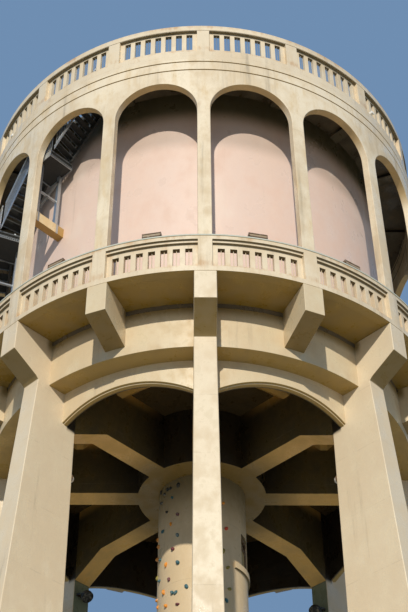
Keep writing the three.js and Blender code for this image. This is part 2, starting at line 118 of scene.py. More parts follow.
class NodeSheet:
    """The node tree of one material, with short calls for the nodes that the finishes share."""

    def __init__(self, name: str) -> None:
        """Starts a material.

        Args:
            name: The material's name.
        """
        self.material = bpy.data.materials.new(name)
        self.material.use_nodes = True
        self.tree = self.material.node_tree
        self.shader = self.tree.nodes["Principled BSDF"]
        self.place = self.node("ShaderNodeTexCoord").outputs["Object"]
        self.x, self.y, self.z = self.split(self.place)
        across = self.sum("MULTIPLY_ADD", self.x, self.x, self.both(self.y, self.y))
        self.radius = self.sum("SQRT", across)

    def node(self, kind: str, **settings: object) -> bpy.types.Node:
        """Adds a node.

        Args:
            kind: The node's type name.
            settings: Properties to set on it.

        Returns:
            The new node.
        """
        made = self.tree.nodes.new(kind)
        for name, value in settings.items():
            setattr(made, name, value)
        return made

    def feed(self, socket: Socket, value: object) -> None:
        """Links a socket to another one, or sets it to a number, vector or colour."""
        if isinstance(value, Socket):
            self.tree.links.new(value, socket)
        else:
            socket.default_value = value

    def split(self, vector: Socket) -> tuple[Socket, ...]:
        """The x, y and z of a vector socket."""
        made = self.node("ShaderNodeSeparateXYZ")
        self.feed(made.inputs[0], vector)
        return tuple(made.outputs)

    def sum(self, operation: str, *values: object) -> Socket:
        """A math node's result.

        Args:
            operation: The math node's operation.
            values: Its inputs, sockets or numbers.

        Returns:
            The result's socket.
        """
        made = self.node("ShaderNodeMath", operation=operation)
        for socket, value in zip(made.inputs, values):
            self.feed(socket, value)
        return made.outputs[0]

    def both(self, first: object, second: object) -> Socket:
        """The product of two values: 1 where both are 1."""
        return self.sum("MULTIPLY", first, second)

    def band(self, value: Socket, low: float, high: float, to: float = 1) -> Socket:
        """A smooth step from 0 at low to a top value at high.

        Args:
            value: What is stepped.
            low: Where the step starts.
            high: Where it ends. It may lie below low, for a falling step.
            to: The value past its end.

        Returns:
            The step's socket.
        """
        made = self.node("ShaderNodeMapRange", interpolation_type="SMOOTHSTEP")
        for socket, fed in zip(made.inputs, (value, low, high, 0, to)):
            self.feed(socket, fed)
        return made.outputs[0]

    def blend(self, amount: object, first: object, second: object) -> Socket:
        """A colour between two colours.

        Args:
            amount: 0 for the first, 1 for the second.
            first: A colour or a colour socket.
            second: The same.

        Returns:
            The mixed colour's socket.
        """
        made = self.node("ShaderNodeMix", data_type="RGBA")
        for index, value in ((0, amount), (6, first), (7, second)):
            self.feed(made.inputs[index], (*value, 1) if isinstance(value, tuple) else value)
        return made.outputs[2]

    def scaled(self, scale: Triple) -> Socket:
        """The surface's own place, multiplied along each axis."""
        made = self.node("ShaderNodeMapping")
        self.feed(made.inputs["Vector"], self.place)
        self.feed(made.inputs["Scale"], scale)
        return made.outputs[0]

    def noise(self, scale: Triple, detail: float = 4, roughness: float = 0.55) -> Socket:
        """Fractal noise over the surface.

        Args:
            scale: Features a metre along x, y and z. A small z gives upright streaks.
            detail: How many finer layers it has.
            roughness: How strong the finer layers are.

        Returns:
            A value around 0.5.
        """
        made = self.node("ShaderNodeTexNoise")
        self.feed(made.inputs["Vector"], self.scaled(scale))
        self.feed(made.inputs["Scale"], 1.0)
        self.feed(made.inputs["Detail"], detail)
        self.feed(made.inputs["Roughness"], roughness)
        return made.outputs["Fac"]

    def facing_down(self) -> Socket:
        """1 on undersides, 0 on upright and upper faces."""
        normal = self.node("ShaderNodeNewGeometry").outputs["Normal"]
        return self.band(self.split(normal)[2], -0.25, -0.75)

    def facing_in(self) -> Socket:
        """1 on faces that look at the tower's axis: there the normal times the place is - radius."""
        normal = self.split(self.node("ShaderNodeNewGeometry").outputs["Normal"])
        outward = self.sum("MULTIPLY_ADD", normal[0], self.x, self.both(normal[1], self.y))
        return self.band(self.sum("DIVIDE", outward, self.radius), -0.7, -0.95)

    def coat(self, colour: Socket, roughness: object) -> None:
        """Feeds the shader's colour and roughness."""
        self.feed(self.shader.inputs["Base Color"], colour)
        self.feed(self.shader.inputs["Roughness"], roughness)

    def bump(self, height: Socket, distance: float, strength: float = 1) -> None:
        """Adds relief on top of what the shader has.

        Args:
            height: The relief, from 0 to 1.
            distance: The height of 1 in metres.
            strength: The share of it that shows.
        """
        made = self.node("ShaderNodeBump")
        self.feed(made.inputs["Height"], height)
        self.feed(made.inputs["Distance"], distance)
        self.feed(made.inputs["Strength"], strength)
        before = self.shader.inputs["Normal"].links
        if before:
            self.feed(made.inputs["Normal"], before[0].from_socket)
        self.feed(self.shader.inputs["Normal"], made.outputs[0])


# Steps that are 0, 0 and 1 all over the tower.
NO_LEVEL: Span = (99.0, 100.0)
NO_RADIUS: Span = (-1.0, -2.0)
EVERY_LEVEL: Span = (-2.0, -1.0)


@dataclass(frozen=True)
class Finish:
    """What every finish has: its material's name and the record's material slot."""

    name: str
    slot: str

    def material(self) -> bpy.types.Material:
        """The finish's material, made on first use."""
        known = bpy.data.materials.get(self.name)
        if known:
            return known
        sheet = NodeSheet(self.name)
        self.paint(sheet)
        return sheet.material

    def paint(self, sheet: NodeSheet) -> None:
        """Fills the material's node tree."""
        raise NotImplementedError


@dataclass(frozen=True)
class Concrete(Finish):
    """Limewashed concrete: mottled, streaked by rain, with pour lines, and with painted shade underneath,
    in grooves and in sheltered places.

    Attributes:
        light: The clean wash; in the beams and ribs a painted shade that darkens their sides.
        dark: The worn wash; in the beams and ribs a painted shade as well.
        underside_shading: The tint of undersides: painted light and shade, mostly a darker shade.
        streak: The grime that rain draws down.
        groove: The painted shade in grooves.
        rust: Stains of the steel inside.
        streaks: The share of the surface with streaks.
        rusting: The share with rust.
        lift: The height of one pour in metres.
        deep_shade: The near black painted shade of deep places under and inside the tower.
        deep_shade_soffit: The same painted shade on their undersides.
        deep_shade_radius: The deep painted shade grows from nothing at the first distance from the axis to
            all at the second.
        deep_shade_level: The same for heights.
        overhang_shade_level: Painted shade under the gallery and other overhangs grows from nothing at the
            first height to all at the second.
        rust_levels: Heights of edges where more rust comes out.
        grooves: (lowest, highest, radius) of grooves: painted shade fills them inside the radius.
        inner_face_shade: The greenish painted shade of faces towards the axis.
        inner_face_shade_level: That painted shade grows from nothing at the first height to all at the
            second.
        low_underside_shading: The painted shading of undersides at lower levels.
        low_level: Undersides change from it at the first height to the upper tint at the second.
    """

    slot: str = "concrete"
    light: Colour = (0.82, 0.68, 0.47)
    dark: Colour = (0.73, 0.58, 0.38)
    underside_shading: Colour = (0.35, 0.22, 0.045)
    streak: Colour = (0.36, 0.29, 0.19)
    groove: Colour = (0.07, 0.045, 0.018)
    rust: Colour = (0.50, 0.26, 0.09)
    streaks: float = 0.4
    rusting: float = 0.3
    lift: float = 1.55
    deep_shade: Colour = (0.030, 0.022, 0.013)
    deep_shade_soffit: Colour = (0.030, 0.022, 0.013)
    deep_shade_radius: Span = (4.60, 4.55)
    deep_shade_level: Span = (19.30, 19.45)
    overhang_shade_level: Span = (21.10, 21.42)
    rust_levels: tuple[float, ...] = ()
    grooves: tuple[Triple, ...] = ()
    inner_face_shade: Colour = (0.19, 0.25, 0.18)
    inner_face_shade_level: Span = NO_LEVEL
    low_underside_shading: Colour = (0.35, 0.22, 0.045)
    low_level: Span = EVERY_LEVEL

    def paint(self, sheet: NodeSheet) -> None:
        """Mixes the wash, its wear, pour lines, streaks, rust, relief, and painted shade: in grooves, under
        overhangs, on inner faces, in deep places and on undersides.
        """
        broad = sheet.noise((0.5, 0.5, 0.35), 5)
        cloud = sheet.noise((2.6, 2.6, 1.8), 6, 0.62)
        grain = sheet.noise((70, 70, 70), 3)
        line = self.pour_lines(sheet, cloud)
        colour = self.wash(sheet, broad, cloud, grain)
        colour = sheet.blend(sheet.both(line, 0.22), colour, self.streak)
        colour = self.stains(sheet, colour, broad)
        colour = self.add_painted_shade(sheet, colour)
        # Painted shade: near black deep under and inside the tower.
        deep_shaded = sheet.band(sheet.radius, *self.deep_shade_radius)
        deep_shaded = sheet.both(deep_shaded, sheet.band(sheet.z, *self.deep_shade_level))
        colour = sheet.blend(deep_shaded, colour, self.deep_shade)
        # Undersides: painted light and shade, a lower tint and an upper one, with grime streaks and the
        # deep painted shade over them.
        under = sheet.blend(sheet.band(sheet.z, *self.low_level), self.low_underside_shading, self.underside_shading)
        under = sheet.blend(sheet.band(cloud, 0.35, 0.7, 0.3), under, self.streak)
        under = sheet.blend(deep_shaded, under, self.deep_shade_soffit)
        colour = sheet.blend(sheet.both(sheet.facing_down(), 0.94), colour, under)
        sheet.coat(colour, sheet.band(cloud, 0.2, 0.8, 0.95))
        sheet.bump(cloud, 0.012, 0.5)
        sheet.bump(grain, 0.003, 0.7)
        sheet.bump(sheet.sum("SUBTRACT", 1.0, line), 0.004, 0.6)

    def wash(self, sheet: NodeSheet, broad: Socket, cloud: Socket, grain: Socket) -> Socket:
        """The wash, worn where the two coarse noises are high together, with grime in its pores.

        Args:
            sheet: The node tree.
            broad: The coarsest noise.
            cloud: The middle one.
            grain: The finest one.

        Returns:
            Its colour.
        """
        wear = sheet.sum("MULTIPLY_ADD", cloud, 0.55, sheet.both(broad, 0.5))
        colour = sheet.blend(sheet.band(wear, 0.42, 0.62), self.light, self.dark)
        return sheet.blend(sheet.band(grain, 0.35, 0.75, 0.12), colour, self.streak)

    def stains(self, sheet: NodeSheet, colour: Socket, broad: Socket) -> Socket:
        """Adds what rain draws down: upright streaks of grime, and rust, most of it near certain edges.

        Args:
            sheet: The node tree.
            colour: What they lie on.
            broad: The noise that keeps the streaks in groups.

        Returns:
            The stained colour.
        """
        drip = sheet.noise((4.5, 4.5, 0.28), 6, 0.68)
        drip = sheet.band(drip, 0.66 - 0.22 * self.streaks, 0.84 - 0.12 * self.streaks, 0.62)
        colour = sheet.blend(sheet.both(drip, sheet.band(broad, 0.35, 0.6)), colour, self.streak)
        stain = sheet.noise((3.1, 3.1, 0.7), 7, 0.7)
        for level in self.rust_levels:
            away = sheet.sum("ABSOLUTE", sheet.sum("SUBTRACT", sheet.z, level))
            stain = sheet.sum("ADD", stain, sheet.band(away, 0.16, 0.02, 0.12))
        stain = sheet.band(stain, 0.70 - 0.14 * self.rusting, 0.84, 0.8)
        return sheet.blend(stain, colour, self.rust)

    def add_painted_shade(self, sheet: NodeSheet, colour: Socket) -> Socket:
        """Adds painted shade: in the grooves, under the gallery and other overhangs, and greenish on the
        faces towards the axis.

        Args:
            sheet: The node tree.
            colour: What they lie on.

        Returns:
            The colour with its painted shade.
        """
        edge = 0.003
        # Painted shade in the grooves, where their shadow falls.
        for low, high, radius in self.grooves:
            above, below = sheet.band(sheet.z, low, low + edge), sheet.band(sheet.z, high, high - edge)
            deep = sheet.band(sheet.radius, radius, radius - 2 * edge, 0.85)
            colour = sheet.blend(sheet.both(sheet.both(above, below), deep), colour, self.groove)
        # Painted shade under the gallery and other overhangs, near the drum and on the shaft.
        near = sheet.band(sheet.radius, 5.4, 5.25)
        overhang_shade = sheet.both(near, sheet.band(sheet.z, *self.overhang_shade_level, 0.85))
        colour = sheet.blend(overhang_shade, colour, self.underside_shading)
        # Greenish painted shade on faces towards the axis, which the key light leaves in shade.
        inner_shade = sheet.both(sheet.facing_in(), sheet.band(sheet.z, *self.inner_face_shade_level, 0.9))
        return sheet.blend(inner_shade, colour, self.inner_face_shade)

    def pour_lines(self, sheet: NodeSheet, cloud: Socket) -> Socket:
        """Level lines between pours, broken up by noise.

        Args:
            sheet: The node tree.
            cloud: The noise that breaks them.

        Returns:
            1 on a line, 0 beside it.
        """
        level = sheet.sum("MULTIPLY_ADD", cloud, 0.02, sheet.z)
        part = sheet.sum("PINGPONG", level, self.lift / 2)
        return sheet.both(sheet.band(part, 0.018, 0.0), sheet.band(cloud, 0.40, 0.60))


@dataclass(frozen=True)
class Render(Finish):
    """Pink lime render of the tank: sandy, patched, paler where salts have come out, with painted shade
    darkening it towards the roof.

    Attributes:
        base: The clean render.
        worn: Its worn patches.
        salt: The salts.
        grime: The grime in drips and pores.
        deep_shade: The painted shade under the roof.
        faint_shade_level: A thin share of it grows from nothing at the first height to all at the second.
        deep_shade_level: The same for the full painted shade.
    """

    slot: str = "tank_render"
    base: Colour = (0.83, 0.63, 0.51)
    worn: Colour = (0.79, 0.57, 0.45)
    salt: Colour = (0.85, 0.71, 0.59)
    grime: Colour = (0.42, 0.32, 0.24)
    deep_shade: Colour = (0.08, 0.074, 0.038)
    faint_shade_level: Span = (26.95, 27.5)
    deep_shade_level: Span = (28.0, 28.75)

    def paint(self, sheet: NodeSheet) -> None:
        """Mixes the render's patches, salts, faint drips and sand, and the painted shade under the roof."""
        broad = sheet.noise((0.45, 0.45, 0.3), 4)
        patch = sheet.noise((1.8, 1.8, 1.1), 6, 0.6)
        sand = sheet.noise((110, 110, 110), 2)
        colour = sheet.blend(sheet.band(patch, 0.35, 0.68), self.base, self.worn)
        salts = sheet.both(sheet.band(broad, 0.48, 0.68), sheet.band(patch, 0.38, 0.62, 0.8))
        colour = sheet.blend(salts, colour, self.salt)
        drip = sheet.band(sheet.noise((5.5, 5.5, 0.22), 6, 0.7), 0.60, 0.85, 0.45)
        colour = sheet.blend(drip, colour, self.grime)
        colour = sheet.blend(sheet.band(sand, 0.4, 0.8, 0.10), colour, self.grime)
        # Painted shade: a thin layer, then near black towards the roof.
        colour = sheet.blend(sheet.band(sheet.z, *self.faint_shade_level, 0.30), colour, self.deep_shade)
        colour = sheet.blend(sheet.band(sheet.z, *self.deep_shade_level, 0.97), colour, self.deep_shade)
        sheet.coat(colour, sheet.band(patch, 0.1, 0.9, 0.98))
        sheet.bump(patch, 0.010, 0.5)
        sheet.bump(sand, 0.003, 0.8)


@dataclass(frozen=True)
class Galvanised(Finish):
    """Zinc-coated steel: dull spangle, whitish bloom and a little rust.

    Its default tones are lightened by a painted reflection of the sky; a darker copy paints shade.

    Attributes:
        zinc: The spangle; the default is lightened by the painted reflection.
        bloom: What has weathered white; the default is lightened by the painted reflection.
        rust: Its rust spots.
        under: The tint of its undersides, darkest in the copy that paints shade.
    """

    slot: str = "galvanised_steel"
    zinc: Colour = (0.80, 0.84, 0.85)
    bloom: Colour = (0.92, 0.93, 0.93)
    rust: Colour = (0.30, 0.16, 0.08)
    under: Colour = (0.78, 0.80, 0.80)

    def paint(self, sheet: NodeSheet) -> None:
        """Mixes spangle, bloom and rust, and tints the undersides."""
        flakes = sheet.node("ShaderNodeTexVoronoi", feature="F1")
        sheet.feed(flakes.inputs["Vector"], sheet.scaled((38, 38, 38)))
        sheet.feed(flakes.inputs["Scale"], 1.0)
        tone = sheet.split(flakes.outputs["Color"])[0]
        cloud = sheet.noise((3.5, 3.5, 3.5), 5, 0.6)
        colour = sheet.blend(sheet.both(tone, 0.5), self.zinc, self.bloom)
        colour = sheet.blend(sheet.band(cloud, 0.45, 0.65, 0.6), colour, self.bloom)
        spots = sheet.band(sheet.noise((9, 9, 4), 7, 0.75), 0.66, 0.78, 0.8)
        colour = sheet.blend(spots, colour, self.rust)
        colour = sheet.blend(sheet.facing_down(), colour, self.under)
        sheet.coat(colour, sheet.sum("MULTIPLY_ADD", tone, 0.18, 0.42))
        sheet.feed(sheet.shader.inputs["Metallic"], 0.15)
        sheet.bump(cloud, 0.001, 0.6)


@dataclass(frozen=True)
class Coated(Finish):
    """Paint, opal plastic or cast resin: one colour, dusty in places, finely textured.

    Attributes:
        colour: The coat.
        dust: What lies on it.
        gloss: Its roughness.
        texture: The depth of its orange peel in metres.
    """

    slot: str = "galvanised_steel"
    colour: Colour = (0.5, 0.5, 0.5)
    dust: Colour = (0.55, 0.50, 0.42)
    gloss: float = 0.5
    texture: float = 0.001

    def paint(self, sheet: NodeSheet) -> None:
        """Mixes the coat with dust and gives it its texture."""
        cloud = sheet.noise((11, 11, 11), 5, 0.6)
        peel = sheet.noise((160, 160, 160), 2)
        colour = sheet.blend(sheet.band(cloud, 0.45, 0.75, 0.5), self.colour, self.dust)
        sheet.coat(colour, sheet.sum("MULTIPLY_ADD", cloud, 0.2, self.gloss))
        sheet.bump(peel, self.texture, 0.6)


class HoldColour(Enum):
    """The resins that the climbing holds are cast in. The near black one also stands for holds in the hub's
    shade, a painted shade.
    """

    TEAL = (0.03, 0.12, 0.14)
    ORANGE = (0.78, 0.28, 0.02)
    MAROON = (0.14, 0.025, 0.03)
    OLIVE = (0.26, 0.21, 0.02)
    RED = (0.62, 0.06, 0.015)
    CHARCOAL_AND_SHADE = (0.025, 0.025, 0.02)


TEAL, ORANGE, MAROON, OLIVE, RED, CHARCOAL_AND_SHADE = HoldColour
Hold = tuple[HoldColour, float, float]


# Undersides painted olive as shade; faces towards the axis take a greenish painted shade from 5 m up.
FRONT_CONCRETE = Concrete(
    "limewashed_concrete", dark=(0.76, 0.61, 0.41), underside_shading=(0.23, 0.145, 0.028), inner_face_shade_level=(5.0, 14.0),
)
# Its underside painted olive as shade.
GALLERY_CONCRETE = Concrete(
    "gallery_concrete", light=(0.36, 0.30, 0.21), dark=(0.28, 0.23, 0.16), underside_shading=(0.32, 0.20, 0.032),
)
# Undersides painted as shade: darker above 20.45 m, lighter below 20.3 m.
DRUM_CONCRETE = Concrete(
    "drum_concrete", light=(0.73, 0.60, 0.39), dark=(0.66, 0.51, 0.31), underside_shading=(0.22, 0.137, 0.027),
    streaks=0.5, low_underside_shading=(0.38, 0.25, 0.06), low_level=(20.3, 20.45),
)
# Undersides of its coping steps and slot heads painted near black as shade, its lowest edge lighter.
STAINED_CONCRETE = Concrete(
    "stained_concrete", light=(0.84, 0.70, 0.49), underside_shading=(0.10, 0.07, 0.018), streaks=0.75, rusting=1.2,
    lift=9.0, rust_levels=(21.78, 22.68, 29.78, 30.78), low_underside_shading=(0.32, 0.20, 0.032),
    low_level=(21.60, 21.65),
)
# Its grooves painted dark as shade; its undersides take a lighter painted tint.
ARCADE_CONCRETE = Concrete(
    "arcade_concrete", light=(0.91, 0.77, 0.55), underside_shading=(0.60, 0.41, 0.17), rust=(0.60, 0.38, 0.12),
    streaks=0.85, rusting=1.55, lift=9.0, grooves=((28.84, 28.885, 6.195), (29.187, 29.232, 6.195)),
)
# Its sides painted near black as shade and its undersides light; a deep painted shade near the hub.
BEAM_CONCRETE = Concrete(
    "beam_concrete", light=(0.13, 0.092, 0.032), dark=(0.085, 0.060, 0.022), underside_shading=(0.84, 0.50, 0.135),
    streaks=0.2, rusting=0.1, deep_shade=(0.030, 0.021, 0.010), deep_shade_soffit=(0.25, 0.16, 0.045),
    deep_shade_radius=(2.8, 1.5), deep_shade_level=(0.0, 0.1),
)
# Its undersides painted near black as shade, lighter within 4.55 m of the axis.
CEILING_CONCRETE = Concrete(
    "ceiling_concrete", light=(0.84, 0.70, 0.49), underside_shading=(0.043, 0.029, 0.013), streaks=0.2, rusting=0.1,
    deep_shade_soffit=(0.11, 0.072, 0.028),
)
# Its underside painted near black as shade.
ROOF_CONCRETE = Concrete(
    "roof_concrete", light=(0.84, 0.70, 0.49), underside_shading=(0.043, 0.029, 0.013), streaks=0.5, rusting=0.1,
    deep_shade_radius=NO_RADIUS, overhang_shade_level=NO_LEVEL,
)
# Painted near black as shade, its undersides lighter.
RIB_CONCRETE = Concrete(
    "rib_concrete", light=(0.03, 0.025, 0.018), dark=(0.024, 0.02, 0.014), underside_shading=(0.15, 0.12, 0.07),
    streak=(0.06, 0.05, 0.04), streaks=0.2, rusting=0.1,
)
# Its inside painted black as shade, its top darker as painted shade under the hub.
SHAFT_CONCRETE = Concrete(
    "shaft_concrete", light=(0.78, 0.60, 0.37), dark=(0.70, 0.52, 0.30), underside_shading=(0.10, 0.075, 0.022),
    streaks=0.3, deep_shade_radius=(0.90, 0.86), deep_shade_level=(0.0, 0.1), overhang_shade_level=(18.3, 19.9),
)
# Its underside painted as shade.
OCHRE_CONCRETE = Concrete(
    "ochre_concrete", light=(0.90, 0.71, 0.43), dark=(0.80, 0.57, 0.28), underside_shading=(0.44, 0.24, 0.045),
    rusting=1.2, streaks=0.6,
)
TANK_RENDER = Render("pink_lime_render")
# Steel lightened by a painted reflection of the sky, which makes it look bright in shade.
ZINC = Galvanised("galvanised_steel")
# Galvanised steel painted near black as shade, darkest underneath: gratings, inner channels, landing
# sheets, ribs and braces.
SHADED_STEEL = Galvanised(
    "shaded_steel", zinc=(0.06, 0.06, 0.054), bloom=(0.11, 0.11, 0.10), under=(0.03, 0.03, 0.028),
)
LAMP_COAT = Coated("bronze_lamp_coat", colour=(0.16, 0.09, 0.04), gloss=0.4)
AMBER = Coated("amber_lens", colour=(0.38, 0.28, 0.17), gloss=0.3, texture=0.0004)
OPAL = Coated("opal_lens", colour=(0.80, 0.72, 0.64), gloss=0.25, texture=0.0004)
FROSTED = Coated("frosted_pane", colour=(0.41, 0.30, 0.14), dust=(0.36, 0.26, 0.13), gloss=0.8)
STRIP_COAT = Coated("weathered_strip", colour=(0.56, 0.56, 0.46), dust=(0.45, 0.42, 0.32))
WHITE_COAT = Coated("white_coat", colour=(0.84, 0.83, 0.78), dust=(0.70, 0.64, 0.52))
BLACK_COAT = Coated("black_coat", colour=(0.012, 0.012, 0.013), gloss=0.42)


class Shape:
    """Points and faces of one piece, gathered from grids of points."""

    def __init__(self) -> None:
        """Starts empty."""
        self.points: list[Array] = []
        self.faces: list[list[int]] = []
        self.count = 0

    def grid(
        self, points: Array, close_rows: bool = False, close_columns: bool = False, caps: bool = False
    ) -> None:
        """Adds grids of points as four-sided faces between neighbours.

        Args:
            points: An array (..., rows, columns, 3). Leading axes are separate grids.
            close_rows: The last row joins the first.
            close_columns: The last column joins the first.
            caps: The first and last row are closed by a face each.
        """
        rows, columns = points.shape[-3:-1]
        index = np.arange(points.size // 3).reshape(-1, rows, columns) + self.count
        if caps:
            self.faces += index[:, 0].tolist() + index[:, -1].tolist()
        if close_rows:
            index = np.concatenate([index, index[:, :1]], axis=1)
        if close_columns:
            index = np.concatenate([index, index[:, :, :1]], axis=2)
        corners = (index[:, :-1, :-1], index[:, 1:, :-1], index[:, 1:, 1:], index[:, :-1, 1:])
        self.faces += np.stack(corners, axis=-1).reshape(-1, 4).tolist()
        self.points.append(points.reshape(-1, 3))
        self.count += points.size // 3

    def ring(self, section: Section, angles: Array | None = None) -> None:
        """Carries a section around the axis: each of its points follows a circle.

        Args:
            section: A closed (radius, height) outline.
            angles: Where it stands in degrees. None is a full turn.
        """
        radius, height = np.array(section).T
        turns = FULL_TURN if angles is None else angles
        points = place(radius[None, :], turns[:, None], height[None, :])
        self.grid(points, close_rows=angles is None, close_columns=True, caps=angles is not None)

    def slab(self, section: Section, half: float, angle: float) -> None:
        """Adds a flat slab of a section in the upright plane at an angle.

        Args:
            section: A closed (radius, height) outline.
            half: Half its thickness.
            angle: The plane's angle in degrees.
        """
        radius, height = np.array(section).T
        sides = np.array([[-half], [half]])
        self.grid(beside(angle, radius[None, :], sides, height[None, :]), close_columns=True, caps=True)

    def bars(self, starts: Array, ends: Array, section: Array, side: Array) -> None:
        """Adds straight bars: a section carried along the line between two points.

        Args:
            starts: Their first points, (..., 3).
            ends: Their last points, (..., 3).
            section: A closed outline of (sideways, upward) offsets, square to the line.
            side: The sideways direction, one or one each.
        """
        starts, ends = starts.reshape(-1, 3), ends.reshape(-1, 3)
        along = ends - starts
        along = along / np.linalg.norm(along, axis=1, keepdims=True)
        across = np.broadcast_to(side, along.shape)
        across = across - (across * along).sum(axis=1, keepdims=True) * along
        across = across / np.linalg.norm(across, axis=1, keepdims=True)
        over = np.cross(across, along)
        offsets = across[:, None, :] * section[None, :, :1] + over[:, None, :] * section[None, :, 1:]
        tubes = np.stack([starts[:, None] + offsets, ends[:, None] + offsets], axis=1)
        self.grid(tubes, close_columns=True, caps=True)

    def blocks(
        self, angles: Array, heights: Array, radii: Array, filled: Array, open_foot: bool = False
    ) -> None:
        """Adds a closed ring made of filled cells of a grid that is bent around the axis.

        A face stands where a filled cell meets an empty one, found by comparing each cell with its
        neighbour along each of the three directions.

        Args:
            angles: Cell borders around the axis in degrees. The last cell ends at the first border.
            heights: Cell borders upwards.
            radii: Cell borders outwards.
            filled: Booleans (len(angles), len(heights) - 1, len(radii) - 1).
            open_foot: The lowest level gets no faces, because it stands on a like surface.
        """
        points = place(radii[None, None, :], angles[:, None, None], heights[None, :, None])
        index = np.arange(points.size // 3).reshape(points.shape[:3])
        ahead = np.roll(index, -1, axis=0)
        foot, head = index[:, :-1], index[:, 1:]
        out = np.diff(np.pad(filled, ((0, 0), (0, 0), (1, 1))).astype(int), axis=2) != 0
        up = np.diff(np.pad(filled, ((0, 0), (1, 1), (0, 0))).astype(int), axis=1) != 0
        up[:, 0] &= not open_foot
        around = filled != np.roll(filled, 1, axis=0)
        faces = [
            np.stack([foot, ahead[:, :-1], ahead[:, 1:], head], axis=-1)[out],
            np.stack([index[:, :, :-1], ahead[:, :, :-1], ahead[:, :, 1:], index[:, :, 1:]], axis=-1)[up],
            np.stack([foot[:, :, :-1], head[:, :, :-1], head[:, :, 1:], foot[:, :, 1:]], axis=-1)[around],
        ]
        used, renumbered = np.unique(np.concatenate(faces), return_inverse=True)
        self.points.append(points.reshape(-1, 3)[used])
        self.faces += (renumbered.reshape(-1, 4) + self.count).tolist()
        self.count += len(used)

    def put_in(
        self, name: str, finish: Finish, replaces: Sequence[str] = (), bevel: float = 0, sharp: float = 35
    ) -> bpy.types.Object:
        """Makes the piece's object, in its finish, riding on the tower.

        Args:
            name: The piece's name.
            finish: Its finish.
            replaces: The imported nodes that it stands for.
            bevel: The width of its softened edges in metres, or 0.
            sharp: Edges that turn by more than this many degrees stay crisp.

        Returns:
            The new object.
        """
        mesh = bpy.data.meshes.new(name)
        mesh.from_pydata(np.concatenate(self.points).tolist(), [], self.faces)
        work = bmesh.new()
        work.from_mesh(mesh)
        bmesh.ops.remove_doubles(work, verts=work.verts, dist=1e-5)
        bmesh.ops.recalc_face_normals(work, faces=work.faces)
        work.to_mesh(mesh)
        work.free()
        mesh.shade_smooth()
        mesh.set_sharp_from_angle(angle=math.radians(sharp))
        mesh.materials.append(finish.material())
        piece = bpy.data.objects.new(name, mesh)
        bpy.context.scene.collection.objects.link(piece)
        if bevel:
            soften = piece.modifiers.new("softened edges", "BEVEL")
            soften.width = bevel
            soften.segments = 2
            soften.limit_method = "ANGLE"
            soften.angle_limit = math.radians(sharp)
            soften.harden_normals = True
        if replaces:
            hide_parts(*replaces)
        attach(piece, "root")
        LOG.info("%s: %d faces, %s", name, len(mesh.polygons), finish.name)
        return piece


def upright(inner: float, outer: float, low: float, high: float) -> Section:
    """A rectangle of (radius, height) points."""
    return [(inner, low), (outer, low), (outer, high), (inner, high)]


def rectangle(width: float, height: float) -> Array:
    """A centred rectangle as a closed outline."""
    return np.array([[-1, -1], [1, -1], [1, 1], [-1, 1]]) * (width / 2, height / 2)


def circle(radius: float, sides: int) -> Array:
    """A centred circle as a closed outline."""
    turn = np.arange(sides) * 2 * np.pi / sides
    return np.stack([np.cos(turn), np.sin(turn)], axis=1) * radius


